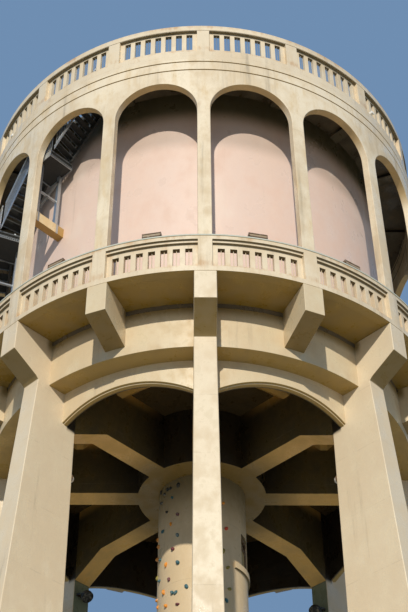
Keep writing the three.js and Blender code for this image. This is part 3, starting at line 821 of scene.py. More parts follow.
@dataclass
class Substructure:
    """Piers, the drum with its low arches and brackets, and the floor beams.

    Attributes:
        batter: The slope of a pier's outer face, with two more for its inner face and its sides.
        lip: How far its head steps out, over a splay of the same height.
        drum_reach: How many arc steps the drum runs to each side of the middle of its bay.
        mould_height: The height of the step on a low arch's edge, and mould_depth its depth.
        ring_foot: Inner radius, outer radius and level of the foot of the ring under the ceiling.
        ring_head: Inner and outer radius of its head.
        lap: How far pieces reach into each other.
    """

    head_half: float = 0.25
    batter: float = 0.061
    inner_batter: float = 0.0068
    side_batter: float = 0.0067
    head_out: float = 5.49
    head_in: float = 4.33
    lip: float = 0.08
    spring: float = 19.42
    crown: float = 19.82
    drum_soffit: float = 20.27
    drum_out: float = node_radius("tank_floor")
    block_bottom: float = 20.74
    block_out: float = node_radius("gallery_slab")
    wall_out: float = 4.72
    wall_in: float = 4.54
    drum_reach: int = 14
    mould_height: float = 0.035
    mould_depth: float = 0.05
    bracket_foot: float = 20.50
    bracket_half: float = 0.24
    ceiling: float = node_heights("tank_floor")[0]
    gallery_soffit: float = node_heights("gallery_slab")[0]
    hub_in: float = 1.0503
    hub_out: float = 1.57
    beam_half: float = 0.25
    beam_soffit: float = 19.86
    haunch_start: float = 3.38
    haunch_foot: float = 19.35
    ring_foot: Triple = (2.97, 3.15, 21.175)
    ring_head: Span = (2.68, 3.42)
    lap: float = 0.06

    def pier(self, index: int) -> None:
        """Builds a pier: level rectangles up its height, each as deep and wide as the batters say.

        Args:
            index: Which pier, from 0 at the front.
        """
        foot_out = self.head_out + self.batter * self.drum_soffit
        spring_out = self.head_out + self.batter * (self.drum_soffit - self.spring)
        levels = np.array([
            (0, self.head_in - self.inner_batter * self.spring, foot_out),
            (self.spring, self.head_in, spring_out),
            (self.drum_soffit, self.head_in, self.head_out),
            (self.drum_soffit + self.lip, self.head_in, self.head_out + self.lip),
            (self.block_bottom, self.head_in, self.block_out),
            (self.ceiling, self.head_in, self.block_out),
            (self.ceiling, self.drum_out, self.block_out),
            (self.gallery_soffit, self.drum_out, self.block_out),
        ])
        height, inner, outer = levels.T[:, :, None]
        half = self.head_half + self.side_batter * np.maximum(self.spring - height, 0)
        corner = np.array([0, 1, 1, 0])
        side = np.array([-1, -1, 1, 1])
        radius = inner + (outer - inner) * corner
        shape = Shape()
        shape.grid(beside(index * 2 * BAY, radius, half * side, height), close_columns=True, caps=True)
        shape.put_in(f"battered_pier_{index + 1}", FRONT_CONCRETE, [f"pier_{index + 1}"], bevel=0.02)

    def low_wall(self, shape: Shape, angle: float) -> None:
        """Adds the wall above a low arch, whose outer edge steps back once.

        The arch is a segment of a circle, so at a distance t from its middle its height is the crown
        less the radius plus the root of (radius squared less t squared).

        Args:
            shape: What it is added to.
            angle: The middle of the bay in degrees.
        """
        half = self.wall_out * math.sin(math.radians(BAY) - math.asin(self.head_half / self.wall_out))
        rise = self.crown - self.spring
        radius = (half**2 + rise**2) / (2 * rise)
        across = np.linspace(-half - self.lap, half + self.lap, 49)[:, None]
        arch = self.crown - radius + np.sqrt(radius**2 - across**2)
        depth = self.mould_depth * np.array([0, 0, 1, 1])
        edge = self.wall_out - depth
        top = self.drum_soffit + self.lap
        levels = arch + self.mould_height * np.array([0, 1, 1, 0])
        levels[:, 0] = top
        radii = np.concatenate([edge, [self.wall_in, self.wall_in]])
        heights = np.concatenate([levels, arch, np.full_like(arch, top)], axis=1)
        turns = angle + np.degrees(np.arcsin(across / radii[None, :]))
        shape.grid(place(radii[None, :], turns, heights), close_columns=True, caps=True)

    def arch_wall(self, index: int) -> None:
        """Builds the drum, low wall and bracket between two piers.

        Args:
            index: Which bay, from 0 right of the front pier.
        """
        angle = (index * 2 + 1) * BAY
        shape = Shape()
        drum = upright(self.wall_in, self.drum_out, self.drum_soffit, self.ceiling)
        shape.ring(drum, angle + np.arange(-self.drum_reach, self.drum_reach + 1) * ARC_STEP)
        self.low_wall(shape, angle)
        bracket = [
            (self.wall_out, self.bracket_foot),
            (self.drum_out - self.lap, self.bracket_foot),
            (self.block_out, self.block_bottom),
            (self.block_out, self.gallery_soffit),
            (self.drum_out, self.gallery_soffit),
            (self.drum_out, self.ceiling),
            (self.wall_out, self.ceiling),
        ]
        shape.slab(bracket, self.bracket_half, angle)
        shape.put_in(f"drum_bay_{index + 1}", DRUM_CONCRETE, [f"arch_wall_{index + 1}"], bevel=0.015)

    def beams(self) -> None:
        """Builds the hub, the haunched arms that grow out of it and the ring under the ceiling.

        An arm leaves the hub where its side meets the hub's circle: at the angle arcsin(w / R) beside
        its middle line and the distance root(R squared - w squared) along it, w being half its width.
        """
        shape = Shape()
        mouth = math.degrees(math.asin(self.beam_half / self.hub_out))
        mouth_radius = math.sqrt(self.hub_out**2 - self.beam_half**2)
        between = np.linspace(mouth, 2 * BAY - mouth, 9)
        turns = (np.arange(PIERS)[:, None] * 2 * BAY + between).ravel()[:, None]
        levels = np.array([self.beam_soffit, self.ceiling])
        hub = np.array([self.hub_in, self.hub_out])
        for level in levels:
            shape.grid(place(hub, turns, level), close_rows=True)
        shape.grid(place(self.hub_in, turns, levels), close_rows=True)
        shape.grid(place(self.hub_out, turns.reshape(PIERS, -1, 1), levels))
        along = np.array([mouth_radius, self.haunch_start, self.head_in])[:, None]
        lower = np.array([self.beam_soffit, self.beam_soffit, self.haunch_foot])[:, None]
        side = self.beam_half * np.array([-1, 1, 1, -1])
        height = np.where(np.array([True, True, False, False]), lower, self.ceiling)
        for index in range(PIERS):
            arm = beside(index * 2 * BAY, along, side, height)
            shape.grid(arm, close_columns=True)
            shape.grid(arm[-1][[0, 1, 3, 2]].reshape(2, 2, 3))
        foot_in, foot_out, foot = self.ring_foot
        head_in, head_out = self.ring_head
        shape.ring([(foot_out, foot), (head_out, self.ceiling), (head_in, self.ceiling), (foot_in, foot)])
        shape.put_in("haunched_floor_beams", BEAM_CONCRETE, ["floor_beams"], bevel=0.012)

    def build(self) -> None:
        """Builds every piece under the gallery."""
        for index in range(PIERS):
            self.pier(index)
            self.arch_wall(index)
        self.beams()
        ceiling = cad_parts["tank_floor"].data.materials
        ceiling.clear()
        ceiling.append(CEILING_CONCRETE.material())


@dataclass
class Balustrade:
    """A ring of slotted panels between pilasters, under a coping.

    Attributes:
        name: The piece's name.
        nodes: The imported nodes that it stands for.
        heights: Levels of the cells, from foot to top.
        radii: Distances of the cells, from the inner to the outer face.
        recesses: (first cell, last cell, depth in cells) of each recess between the pilasters.
        grooves: (cell, depth in cells) of each groove that runs round.
        slot_cells: First and last cell of the slots, upwards.
        rod_finish: The finish of the rods in the slots.
        open_foot: Its foot stands on a face of the same width, without a joint.
        slots: How many slots a panel has.
        slot_pitch: From slot to slot in degrees.
        slot_half: Half a slot's width in degrees.
        pilaster_half: Half a pilaster's width in degrees.
        rod_radius: The radius of the rods in metres.
        rod_lap: How far they reach into the concrete.
    """

    name: str
    nodes: list[str]
    heights: list[float]
    radii: list[float]
    recesses: list[tuple[int, int, int]]
    grooves: list[tuple[int, int]]
    slot_cells: tuple[int, int]
    rod_finish: Finish
    open_foot: bool = False
    slots: int = 7
    slot_pitch: float = 2.62
    slot_half: float = 0.738
    pilaster_half: float = 1.497
    rod_radius: float = 0.009
    rod_lap: float = 0.01

    def slot_angles(self) -> Array:
        """Middles of all slots in degrees."""
        bays = (np.arange(COLUMNS) + 0.5) * BAY
        inside = (np.arange(self.slots) - (self.slots - 1) / 2) * self.slot_pitch
        return (bays[:, None] + inside[None, :]).ravel()

    def build(self, finish: Finish) -> None:
        """Builds the balustrade and the rod in each slot.

        Args:
            finish: The balustrade's finish.
        """
        slots = self.slot_angles()
        edges = np.concatenate([slots - self.slot_half, slots + self.slot_half])
        pilasters = (np.arange(COLUMNS)[:, None] * BAY + self.pilaster_half * np.array([-1, 0, 1])).ravel()
        angles = np.sort(np.concatenate([edges, pilasters]))
        middles = (angles + np.roll(angles, -1)) / 2
        middles[-1] = (angles[-1] + angles[0] + 360) / 2
        across = np.abs((middles + BAY / 2) % BAY - BAY / 2)
        panel = across > self.pilaster_half
        open_slot = (np.abs(middles[:, None] - slots[None, :]) < self.slot_half).any(axis=1)
        depth = len(self.radii) - 1
        filled = np.ones((len(angles), len(self.heights) - 1, depth), dtype=bool)
        for first, last, cut in self.recesses:
            filled[np.ix_(panel, range(first, last + 1), range(depth - cut, depth))] = False
        for cell, cut in self.grooves:
            filled[:, cell, depth - cut :] = False
        first, last = self.slot_cells
        filled[open_slot, first : last + 1] = False
        shape = Shape()
        shape.blocks(angles, np.array(self.heights), np.array(self.radii), filled, self.open_foot)
        shape.put_in(self.name, finish, self.nodes, bevel=0.007)
        rods = Shape()
        middle = (self.radii[0] + self.radii[1]) / 2
        low = place(middle, slots, self.heights[first] - self.rod_lap)
        high = place(middle, slots, self.heights[last + 1] + self.rod_lap)
        rods.bars(low, high, circle(self.rod_radius, 8), np.array([1.0, 0, 0]))
        rods.put_in(f"{self.name}_rods", self.rod_finish)


@dataclass
class Arcade:
    """Sixteen round arches on slim columns around the walk.

    Attributes:
        band_top: Where the arches' band ends and the plain fascia starts.
        grooves: The lower edge of each groove in the fascia.
        steps: How many straight pieces an arch is made of.
        layers: How many rows of points lie between an arch's edge and its bay's border.
    """

    outer: float = node_radius("arcade_1")
    inner: float = ARCADE_IN
    foot: float = node_heights("arcade_1")[0]
    head: float = node_heights("arcade_1")[1]
    crown: float = 28.365
    column_half: float = 0.163
    band_top: float = 28.80
    grooves: Span = (28.845, 29.192)
    groove_height: float = 0.035
    groove_depth: float = 0.03
    steps: int = 40
    layers: int = 5

    def edge_angle(self, across: Array, radius: float) -> Array:
        """Angle of an opening's edge on a cylinder.

        At a distance r along the bay's middle line the opening is tan(B) r - w / cos(B) to each side,
        B being half a bay and w the column's half width, so that columns keep parallel sides. Where
        that line meets a cylinder of radius R, the angle is
        arctan(c tan B) - arcsin(c w / (cos B R sqrt(1 + (c tan B) squared))).

        Args:
            across: The share c of the opening's half width, from -1 to 1.
            radius: The cylinder's radius R.

        Returns:
            Angles from the middle of the bay in degrees.
        """
        half_bay = math.radians(BAY / 2)
        slope = across * math.tan(half_bay)
        narrow = across * self.column_half / (math.cos(half_bay) * radius * np.sqrt(1 + slope**2))
        return np.degrees(np.arctan(slope) - np.arcsin(narrow))

    def fascia(self, shape: Shape, turns: Array) -> None:
        """Adds the plain ring over the arches: a level profile with two grooves, and its inner face.

        Args:
            shape: What it is added to.
            turns: Where the arches' band meets it, in degrees. Doubles are left out.
        """
        turns = np.unique(turns.round(6) % 360)[:, None]
        levels = [self.band_top]
        for low in self.grooves:
            levels += [low, low, low + self.groove_height, low + self.groove_height]
        levels.append(self.head)
        depth = self.groove_depth * np.array([0, 0, 1, 1, 0, 0, 1, 1, 0, 0])
        shape.grid(place(self.outer - depth, turns, np.array(levels)), close_rows=True)
        shape.grid(place(self.inner, turns, np.array([self.band_top, self.head])), close_rows=True)

    def build(self) -> None:
        """Builds the ring of arches.

        Each bay is a band between its border and the edge of its opening. Both are walked together:
        up one jamb, round the arch and down the other. The border is the point where the ray from
        the arch's centre meets the bay's outline.
        """
        half_bay = math.radians(BAY / 2)
        rise = self.outer * math.sin(half_bay) - self.column_half / math.cos(half_bay)
        spring = self.crown - rise
        reach = self.outer * half_bay
        corner = math.atan2(self.band_top - spring, reach)
        turn = np.union1d(np.linspace(0, np.pi, self.steps + 1), [corner, np.pi - corner])
        size = np.maximum(np.abs(np.cos(turn)), np.sin(turn) * reach / (self.band_top - spring))
        jamb = np.array([self.foot])
        across = np.concatenate([[-1], -np.cos(turn), [1]])
        edge_z = np.concatenate([jamb, spring + rise * np.sin(turn), jamb])
        border_angle = np.concatenate([[-1], -np.cos(turn) / size, [1]]) * BAY / 2
        border_z = np.concatenate([jamb, spring + reach * np.sin(turn) / size, jamb])
        share = np.linspace(0, 1, self.layers)
        bays = ((np.arange(COLUMNS) + 0.5) * BAY)[:, None, None]
        shape = Shape()
        faces = []
        for radius in (self.outer, self.inner):
            angle = border_angle[:, None] * (1 - share) + self.edge_angle(across, radius)[:, None] * share
            height = border_z[:, None] * (1 - share) + edge_z[:, None] * share
            faces.append(place(radius, bays + angle, height[None]))
        outer, inner = faces
        shape.grid(np.concatenate([outer, inner[:, :, ::-1]], axis=2))
        on_top = np.isclose(border_z, self.band_top)
        self.fascia(shape, (bays[:, :, 0] + border_angle[on_top]).ravel())
        for end in (0, -1):
            shape.grid(np.stack([outer[:, end], inner[:, end]], axis=1))
        nodes = [f"arcade_{index}" for index in range(1, 5)]
        shape.put_in("arcade_ring", ARCADE_CONCRETE, nodes, bevel=0.014)


@dataclass
class Tank:
    """The round tank with its roof slab, which also covers the walk."""

    wall_out: float = node_radius("tank_wall")
    wall_in: float = 4.83
    wall: Span = node_heights("tank_wall")
    roof_out: float = node_radius("roof_slab")
    rib_soffit: float = node_heights("roof_slab")[0]
    roof: Span = (29.31, node_heights("roof_slab")[1])
    rib_half: float = 0.15
    lap: float = 0.01

    def build_wall(self) -> None:
        """Builds the rendered tank wall."""
        shape = Shape()
        shape.ring(upright(self.wall_in, self.wall_out, *self.wall))
        shape.put_in("rendered_tank_wall", TANK_RENDER, ["tank_wall"])

    def build_roof(self, hatch_middle: Array, hatch_turn: float, hatch_size: Span) -> None:
        """Builds the roof slab around its hatch.

        The slab is a band between the hatch and the rim. For each angle of the rim, the ray from the
        hatch's middle to the rim leaves the hatch at min(half length / |x|, half width / |y|) of its way.

        Args:
            hatch_middle: The hatch's middle, x and y.
            hatch_turn: The direction of its length in radians.
            hatch_size: Its length and width.
        """
        low, high = self.roof
        along = np.array([math.cos(hatch_turn), math.sin(hatch_turn)])
        aside = np.array([-along[1], along[0]])
        half = np.array(hatch_size) / 2
        corners = np.array([[-1, -1], [1, -1], [1, 1], [-1, 1]]) * half
        rays = corners[:, :1] * along + corners[:, 1:] * aside
        rays = rays / np.linalg.norm(rays, axis=1, keepdims=True)
        ahead = rays @ hatch_middle
        reach = -ahead + np.sqrt(ahead**2 - hatch_middle @ hatch_middle + self.roof_out**2)
        hits = hatch_middle + rays * reach[:, None]
        exact = np.degrees(np.arctan2(hits[:, 0], -hits[:, 1])) % 360
        angles = np.union1d(FULL_TURN, exact)
        rim = place(self.roof_out, angles, 0)[:, :2]
        local = np.stack([(rim - hatch_middle) @ along, (rim - hatch_middle) @ aside], axis=1)
        inside = local * (half / np.maximum(np.abs(local), 1e-9)).min(axis=1, keepdims=True)
        hatch = hatch_middle + inside[:, :1] * along + inside[:, 1:] * aside
        edge = place(self.roof_out, angles[:, None], np.array([low, high]))
        bottom = np.insert(hatch, 2, low, axis=1)[:, None]
        top = np.insert(hatch, 2, high, axis=1)[:, None]
        shape = Shape()
        shape.grid(np.concatenate([bottom, edge, top], axis=1), close_rows=True, close_columns=True)
        shape.put_in("roof_slab_band", ROOF_CONCRETE, ["roof_slab"])

    def build_ribs(self) -> None:
        """Builds the ribs under the roof slab, one from the tank to each column."""
        shape = Shape()
        inner, outer = self.wall_out - self.lap, ARCADE_IN + self.lap
        rib = upright(inner, outer, self.rib_soffit, self.roof[0] + self.lap)
        for column in range(COLUMNS):
            shape.slab(rib, self.rib_half, column * BAY)
        shape.put_in("roof_ribs", RIB_CONCRETE, bevel=0.01)


@dataclass
class Gallery:
    """The walk around the tank: its floor, and the two balustrades, low and on the roof.

    Attributes:
        lift: How far the floor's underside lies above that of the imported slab.
        rail_slot: Lowest and highest level of the slots.
        rail_step: The same of the step between panels and coping.
        groove: The height and the depth of the groove under the coping.
        parapet_groove: The height of the groove over the panels there.
        reveal: The depth of that groove.
    """

    slab: Span = node_heights("gallery_slab")
    slab_in: float = 5.1803
    slab_out: float = 6.1
    inner: float = ARCADE_IN
    outer: float = node_radius("gallery_rail_1")
    rail: Span = node_heights("gallery_rail_1")
    parapet_out: float = node_radius("parapet_1")
    parapet: Span = node_heights("parapet_1")
    rail_slot: Span = (21.83, 22.348)
    rail_step: Span = (22.476, 22.545)
    deck: float = 21.70
    panel_out: float = 6.13
    step_out: float = 6.19
    parapet_slot: Span = (29.845, 30.51)
    parapet_foot: float = 29.65
    parapet_top: float = 30.578
    parapet_groove: float = 0.012
    parapet_panel_out: float = 6.105
    groove: float = 0.015
    reveal: float = 0.01
    lift: float = 0.004

    def build(self) -> None:
        """Builds the floor and both balustrades."""
        low, high = self.slab
        floor = Shape()
        floor.ring(upright(self.slab_in, self.slab_out, low + self.lift, high))
        floor.put_in("gallery_floor", GALLERY_CONCRETE, ["gallery_slab"])
        top = self.rail[1]
        Balustrade(
            name="gallery_balustrade",
            nodes=[f"gallery_rail_{index}" for index in range(1, 5)],
            heights=[
                low, self.deck, *self.rail_slot, *self.rail_step,
                top - 2 * self.groove, top - self.groove, top,
            ],
            radii=[self.inner, self.panel_out, self.step_out, self.outer - self.groove, self.outer],
            recesses=[(1, 3, 3), (4, 4, 2)],
            grooves=[(6, 1)],
            slot_cells=(2, 2),
            rod_finish=STAINED_CONCRETE,
        ).build(STAINED_CONCRETE)
        foot, top = self.parapet
        Balustrade(
            name="roof_parapet",
            nodes=[f"parapet_{index}" for index in range(1, 5)],
            heights=[
                foot, self.parapet_foot, *self.parapet_slot,
                self.parapet_top, self.parapet_top + self.parapet_groove, top,
            ],
            radii=[self.inner, self.parapet_panel_out, self.parapet_out - self.reveal, self.parapet_out],
            recesses=[(1, 3, 2)],
            grooves=[(4, 1)],
            slot_cells=(2, 2),
            rod_finish=ZINC,
            open_foot=True,
        ).build(STAINED_CONCRETE)


@dataclass(frozen=True)
class Opening:
    """An opening in a round wall.

    Attributes:
        angle: Its middle in degrees.
        half: Half its width.
        low: Its lowest level.
        high: Its highest level.
    """

    angle: float
    half: float
    low: float
    high: float

    def reach(self, radius: float) -> float:
        """Half its width on a cylinder, in degrees."""
        return math.degrees(math.asin(self.half / radius))

    def depth(self, radius: float) -> float:
        """Distance from the axis of the flat between its edges on a cylinder."""
        return radius * math.cos(math.asin(self.half / radius))


@dataclass
class Shaft:
    """The round shaft with its doorway, window, sill and climbing holds.

    Attributes:
        vent_low: The level above which the window is open.
        pane_back: How far its pane stands inside the flat between its edges.
        sill_tail: How deep the sill sits in the wall.
        sill_fall: How far its top falls outwards.
        sill_lap: How far it runs past the window, in degrees.
        high_holds: The colour, angle and height of each hold that has a place of its own.
        hold_tracks: The angle of each upright track of holds, and the share of its rows that have one.
        smallest_hold: Half the width, half the height and the depth of the smallest hold.
        row_spread: How far a hold strays up or down, as a share of a row's rise.
        track_spread: How far it strays sideways, in degrees.
    """

    outer: float = node_radius("shaft")
    inner: float = 0.85
    head: float = node_heights("shaft")[1]
    door: Opening = Opening(180, 0.45, 0.0, 2.1)
    window: Opening = Opening(72, 0.24, 17.62, 18.52)
    arc_step: float = 4.5
    door_bar: float = 0.07
    window_bar: float = 0.05
    vent_low: float = 18.22
    pane_back: float = 0.06
    pane_thick: float = 0.01
    sill_out: float = 0.05
    sill_tail: float = 0.1
    sill_thick: float = 0.17
    sill_fall: float = 0.01
    sill_lap: float = 15.8
    # The near black holds high up are a painted shade of holds under the hub.
    high_holds: tuple[Hold, ...] = (
        (CHARCOAL_AND_SHADE, -33, 19.66), (CHARCOAL_AND_SHADE, -47, 19.68), (CHARCOAL_AND_SHADE, -52, 19.70),
        (CHARCOAL_AND_SHADE, -59, 19.63), (CHARCOAL_AND_SHADE, -69, 19.80), (CHARCOAL_AND_SHADE, -67, 19.46), (TEAL, -43, 19.38),
        (CHARCOAL_AND_SHADE, -53, 19.06), (MAROON, -34, 18.84), (ORANGE, -45, 18.65), (TEAL, -62, 18.61),
        (ORANGE, -81, 18.59), (ORANGE, -75, 18.33), (TEAL, -34, 18.27), (ORANGE, -81, 18.05),
        (MAROON, -41, 17.94), (TEAL, -68, 17.90), (ORANGE, -53, 17.62), (OLIVE, -83, 17.57),
        (TEAL, -33, 17.53), (TEAL, -70, 17.36), (MAROON, -47, 17.19), (ORANGE, -81, 16.97),
        (ORANGE, -57, 16.94), (TEAL, -21, 16.85), (TEAL, -41, 16.80), (TEAL, -36, 16.77),
        (ORANGE, -75, 16.73), (ORANGE, -52, 16.55), (MAROON, -33, 16.46), (ORANGE, 27, 19.11),
        (RED, 31, 18.43), (OLIVE, 26, 17.79), (OLIVE, 32, 17.39), (OLIVE, 34, 16.85),
        (TEAL, 29, 16.53),
    )
    hold_tracks: tuple[Span, ...] = (
        (-82, 0.52), (-64, 0.52), (-48, 0.52), (-34, 0.52), (-21, 0.3), (29, 0.42),
    )
    hold_colour_shares: tuple[float, ...] = (0.30, 0.2, 0.28, 0.08, 0.08, 0.06)
    smallest_hold: Triple = (0.032, 0.04, 0.042)
    largest_hold: Triple = (0.052, 0.065, 0.068)
    hold_lap: float = 0.01
    rows: int = 42
    row_rise: float = 0.37
    first_row: float = 0.75
    row_spread: float = 0.35
    track_spread: float = 3.2
    seed: int = 11

    def build_tube(self) -> None:
        """Builds the tube with its two openings."""
        openings = (self.door, self.window)
        borders = [hole.angle + side * hole.reach(self.outer) for hole in openings for side in (-1, 1)]
        angles = np.union1d(np.arange(0, 360, self.arc_step), borders)
        levels = [level for hole in openings for level in (hole.low, hole.high)]
        heights = np.unique([0, self.head, *levels])
        middles = (angles + np.append(angles[1:], 360)) / 2
        centres = (heights[1:] + heights[:-1]) / 2
        filled = np.ones((len(angles), len(centres), 1), dtype=bool)
        for hole in openings:
            beyond = np.abs(middles - hole.angle) > hole.reach(self.outer)
            filled[:, :, 0] &= beyond[:, None] | ((centres < hole.low) | (centres > hole.high))[None, :]
        shape = Shape()
        shape.blocks(angles, heights, np.array([self.inner, self.outer]), filled)
        shape.put_in("round_shaft", SHAFT_CONCRETE, ["shaft"], bevel=0.01)

    def build_frame(self, name: str, hole: Opening, bar: float, levels: Sequence[float]) -> None:
        """Builds the frame in an opening: two jambs and level bars between them.

        Args:
            name: The opening's name.
            hole: The opening.
            bar: The width of its square bars.
            levels: Heights of the level bars.
        """
        depth = hole.depth(self.outer) - bar
        across = hole.half - bar / 2
        starts = [(-across, hole.low), (across, hole.low), *((-across, level) for level in levels)]
        ends = [(-across, hole.high), (across, hole.high), *((across, level) for level in levels)]
        starts, ends = (beside(hole.angle, depth, *np.array(points).T) for points in (starts, ends))
        shape = Shape()
        shape.bars(starts, ends, rectangle(bar, bar), beside(hole.angle, 1, 0, 0))
        shape.put_in(f"shaft_{name}_frame", LAMP_COAT, bevel=0.004)

    def build_joinery(self) -> None:
        """Builds both frames, and the window's pane and sill. The window is open above its pane."""
        hole, bar = self.window, self.window_bar
        self.build_frame("window", hole, bar, [hole.high - bar / 2, hole.low + bar / 2, self.vent_low])
        self.build_frame("doorway", self.door, self.door_bar, [self.door.high - self.door_bar / 2])
        depth = hole.depth(self.outer) - self.pane_back
        pane = Shape()
        ends = [beside(hole.angle, depth, 0, level) for level in (hole.low, self.vent_low)]
        pane.bars(*ends, rectangle(2 * hole.half, self.pane_thick), beside(hole.angle, 0, 1, 0))
        pane.put_in("shaft_window_pane", FROSTED)
        back, front = self.outer - self.sill_tail, self.outer + self.sill_out
        under = hole.low - self.sill_thick
        section = [(back, under), (front, under), (front, hole.low - self.sill_fall), (back, hole.low)]
        reach = hole.reach(self.outer) + self.sill_lap
        sill = Shape()
        sill.ring(section, hole.angle + np.linspace(-reach, reach, 13))
        sill.put_in("shaft_window_sill", SHAFT_CONCRETE, bevel=0.006)

    def low_holds(self, chance: np.random.Generator) -> list[Hold]:
        """Scatters holds along upright tracks on the lower shaft.

        Args:
            chance: Where the random numbers come from.

        Returns:
            The colour, angle and height of each.
        """
        colours = list(HoldColour)
        holds = []
        for row in range(self.rows):
            for angle, share in self.hold_tracks:
                if chance.uniform() < share:
                    shift = chance.uniform(-self.row_spread, self.row_spread)
                    colour = colours[chance.choice(len(colours), p=self.hold_colour_shares)]
                    turned = angle + chance.normal(0, self.track_spread)
                    holds.append((colour, turned, self.first_row + (row + shift) * self.row_rise))
        return holds

    def build_holds(self) -> None:
        """Builds the climbing holds, one piece a colour: high ones at their places, low ones scattered.

        A hold is a dome whose radius swings with its own angle u, as 1 + 0.22 cos(2 u + shift), and
        falls with its depth h, as the root of (1 - h to the power 2.2). It hangs down a little.
        """
        chance = np.random.default_rng(self.seed)
        holds = [*self.high_holds, *self.low_holds(chance)]
        shapes = {colour: Shape() for colour in HoldColour}
        ring, rise = np.meshgrid(np.linspace(0, 2 * np.pi, 13)[:-1], np.linspace(0, 1, 6), indexing="xy")
        for colour, angle, height in holds:
            wide, tall, deep = chance.uniform(self.smallest_hold, self.largest_hold)
            swing = 1 + 0.22 * np.cos(2 * ring + chance.uniform(0, 6.28))
            girth = swing * np.sqrt(np.maximum(1 - rise**2.2, 0))
            side = wide * girth * np.cos(ring)
            up = tall * girth * np.sin(ring) - 0.25 * tall * rise
            radius = self.outer - self.hold_lap + (deep + self.hold_lap) * rise
            shapes[colour].grid(beside(angle, radius, side, height + up), close_columns=True, caps=True)
        for colour, shape in shapes.items():
            word = colour.name.lower()
            finish = Coated(f"{word}_resin", colour=colour.value, gloss=0.55, texture=0.002)
            shape.put_in(f"climbing_holds_{word}", finish, sharp=60)

    def build(self) -> None:
        """Builds the shaft and all that is on it."""
        self.build_tube()
        self.build_joinery()
        self.build_holds()


@dataclass
class Flight:
    """Where one flight of the stair runs.

    Attributes:
        foot: Its foot on its middle line, x and y.
        heading: Its direction in radians.
        run: Its length in plan.
        low: The level that it leaves.
        high: The level that it reaches.
        steps: The number of rises.
        gap: How far its foot stands off what it leaves.
    """

    foot: Array
    heading: float
    run: float
    low: float
    high: float
    steps: int
    gap: float

    def at(self, along: Array | float, aside: Array | float, height: Array | float) -> Array:
        """Points at distances along and left of the middle line, at heights."""
        ahead = np.array([math.cos(self.heading), math.sin(self.heading)])
        left = np.array([-ahead[1], ahead[0]])
        s, t, z = np.broadcast_arrays(along, aside, height)
        flat = self.foot + s[..., None] * ahead + t[..., None] * left
        return np.concatenate([flat, z[..., None]], axis=-1)

    def pitch(self, along: Array | float) -> Array | float:
        """Height of the line through the nosings."""
        return self.low + (self.high - self.low) * along / self.run

    def closed(self) -> "Flight":
        """The same flight, its foot drawn out to the edge of what it leaves."""
        return replace(self, foot=self.at(-self.gap, 0, 0)[:2], run=self.run + self.gap, gap=0)


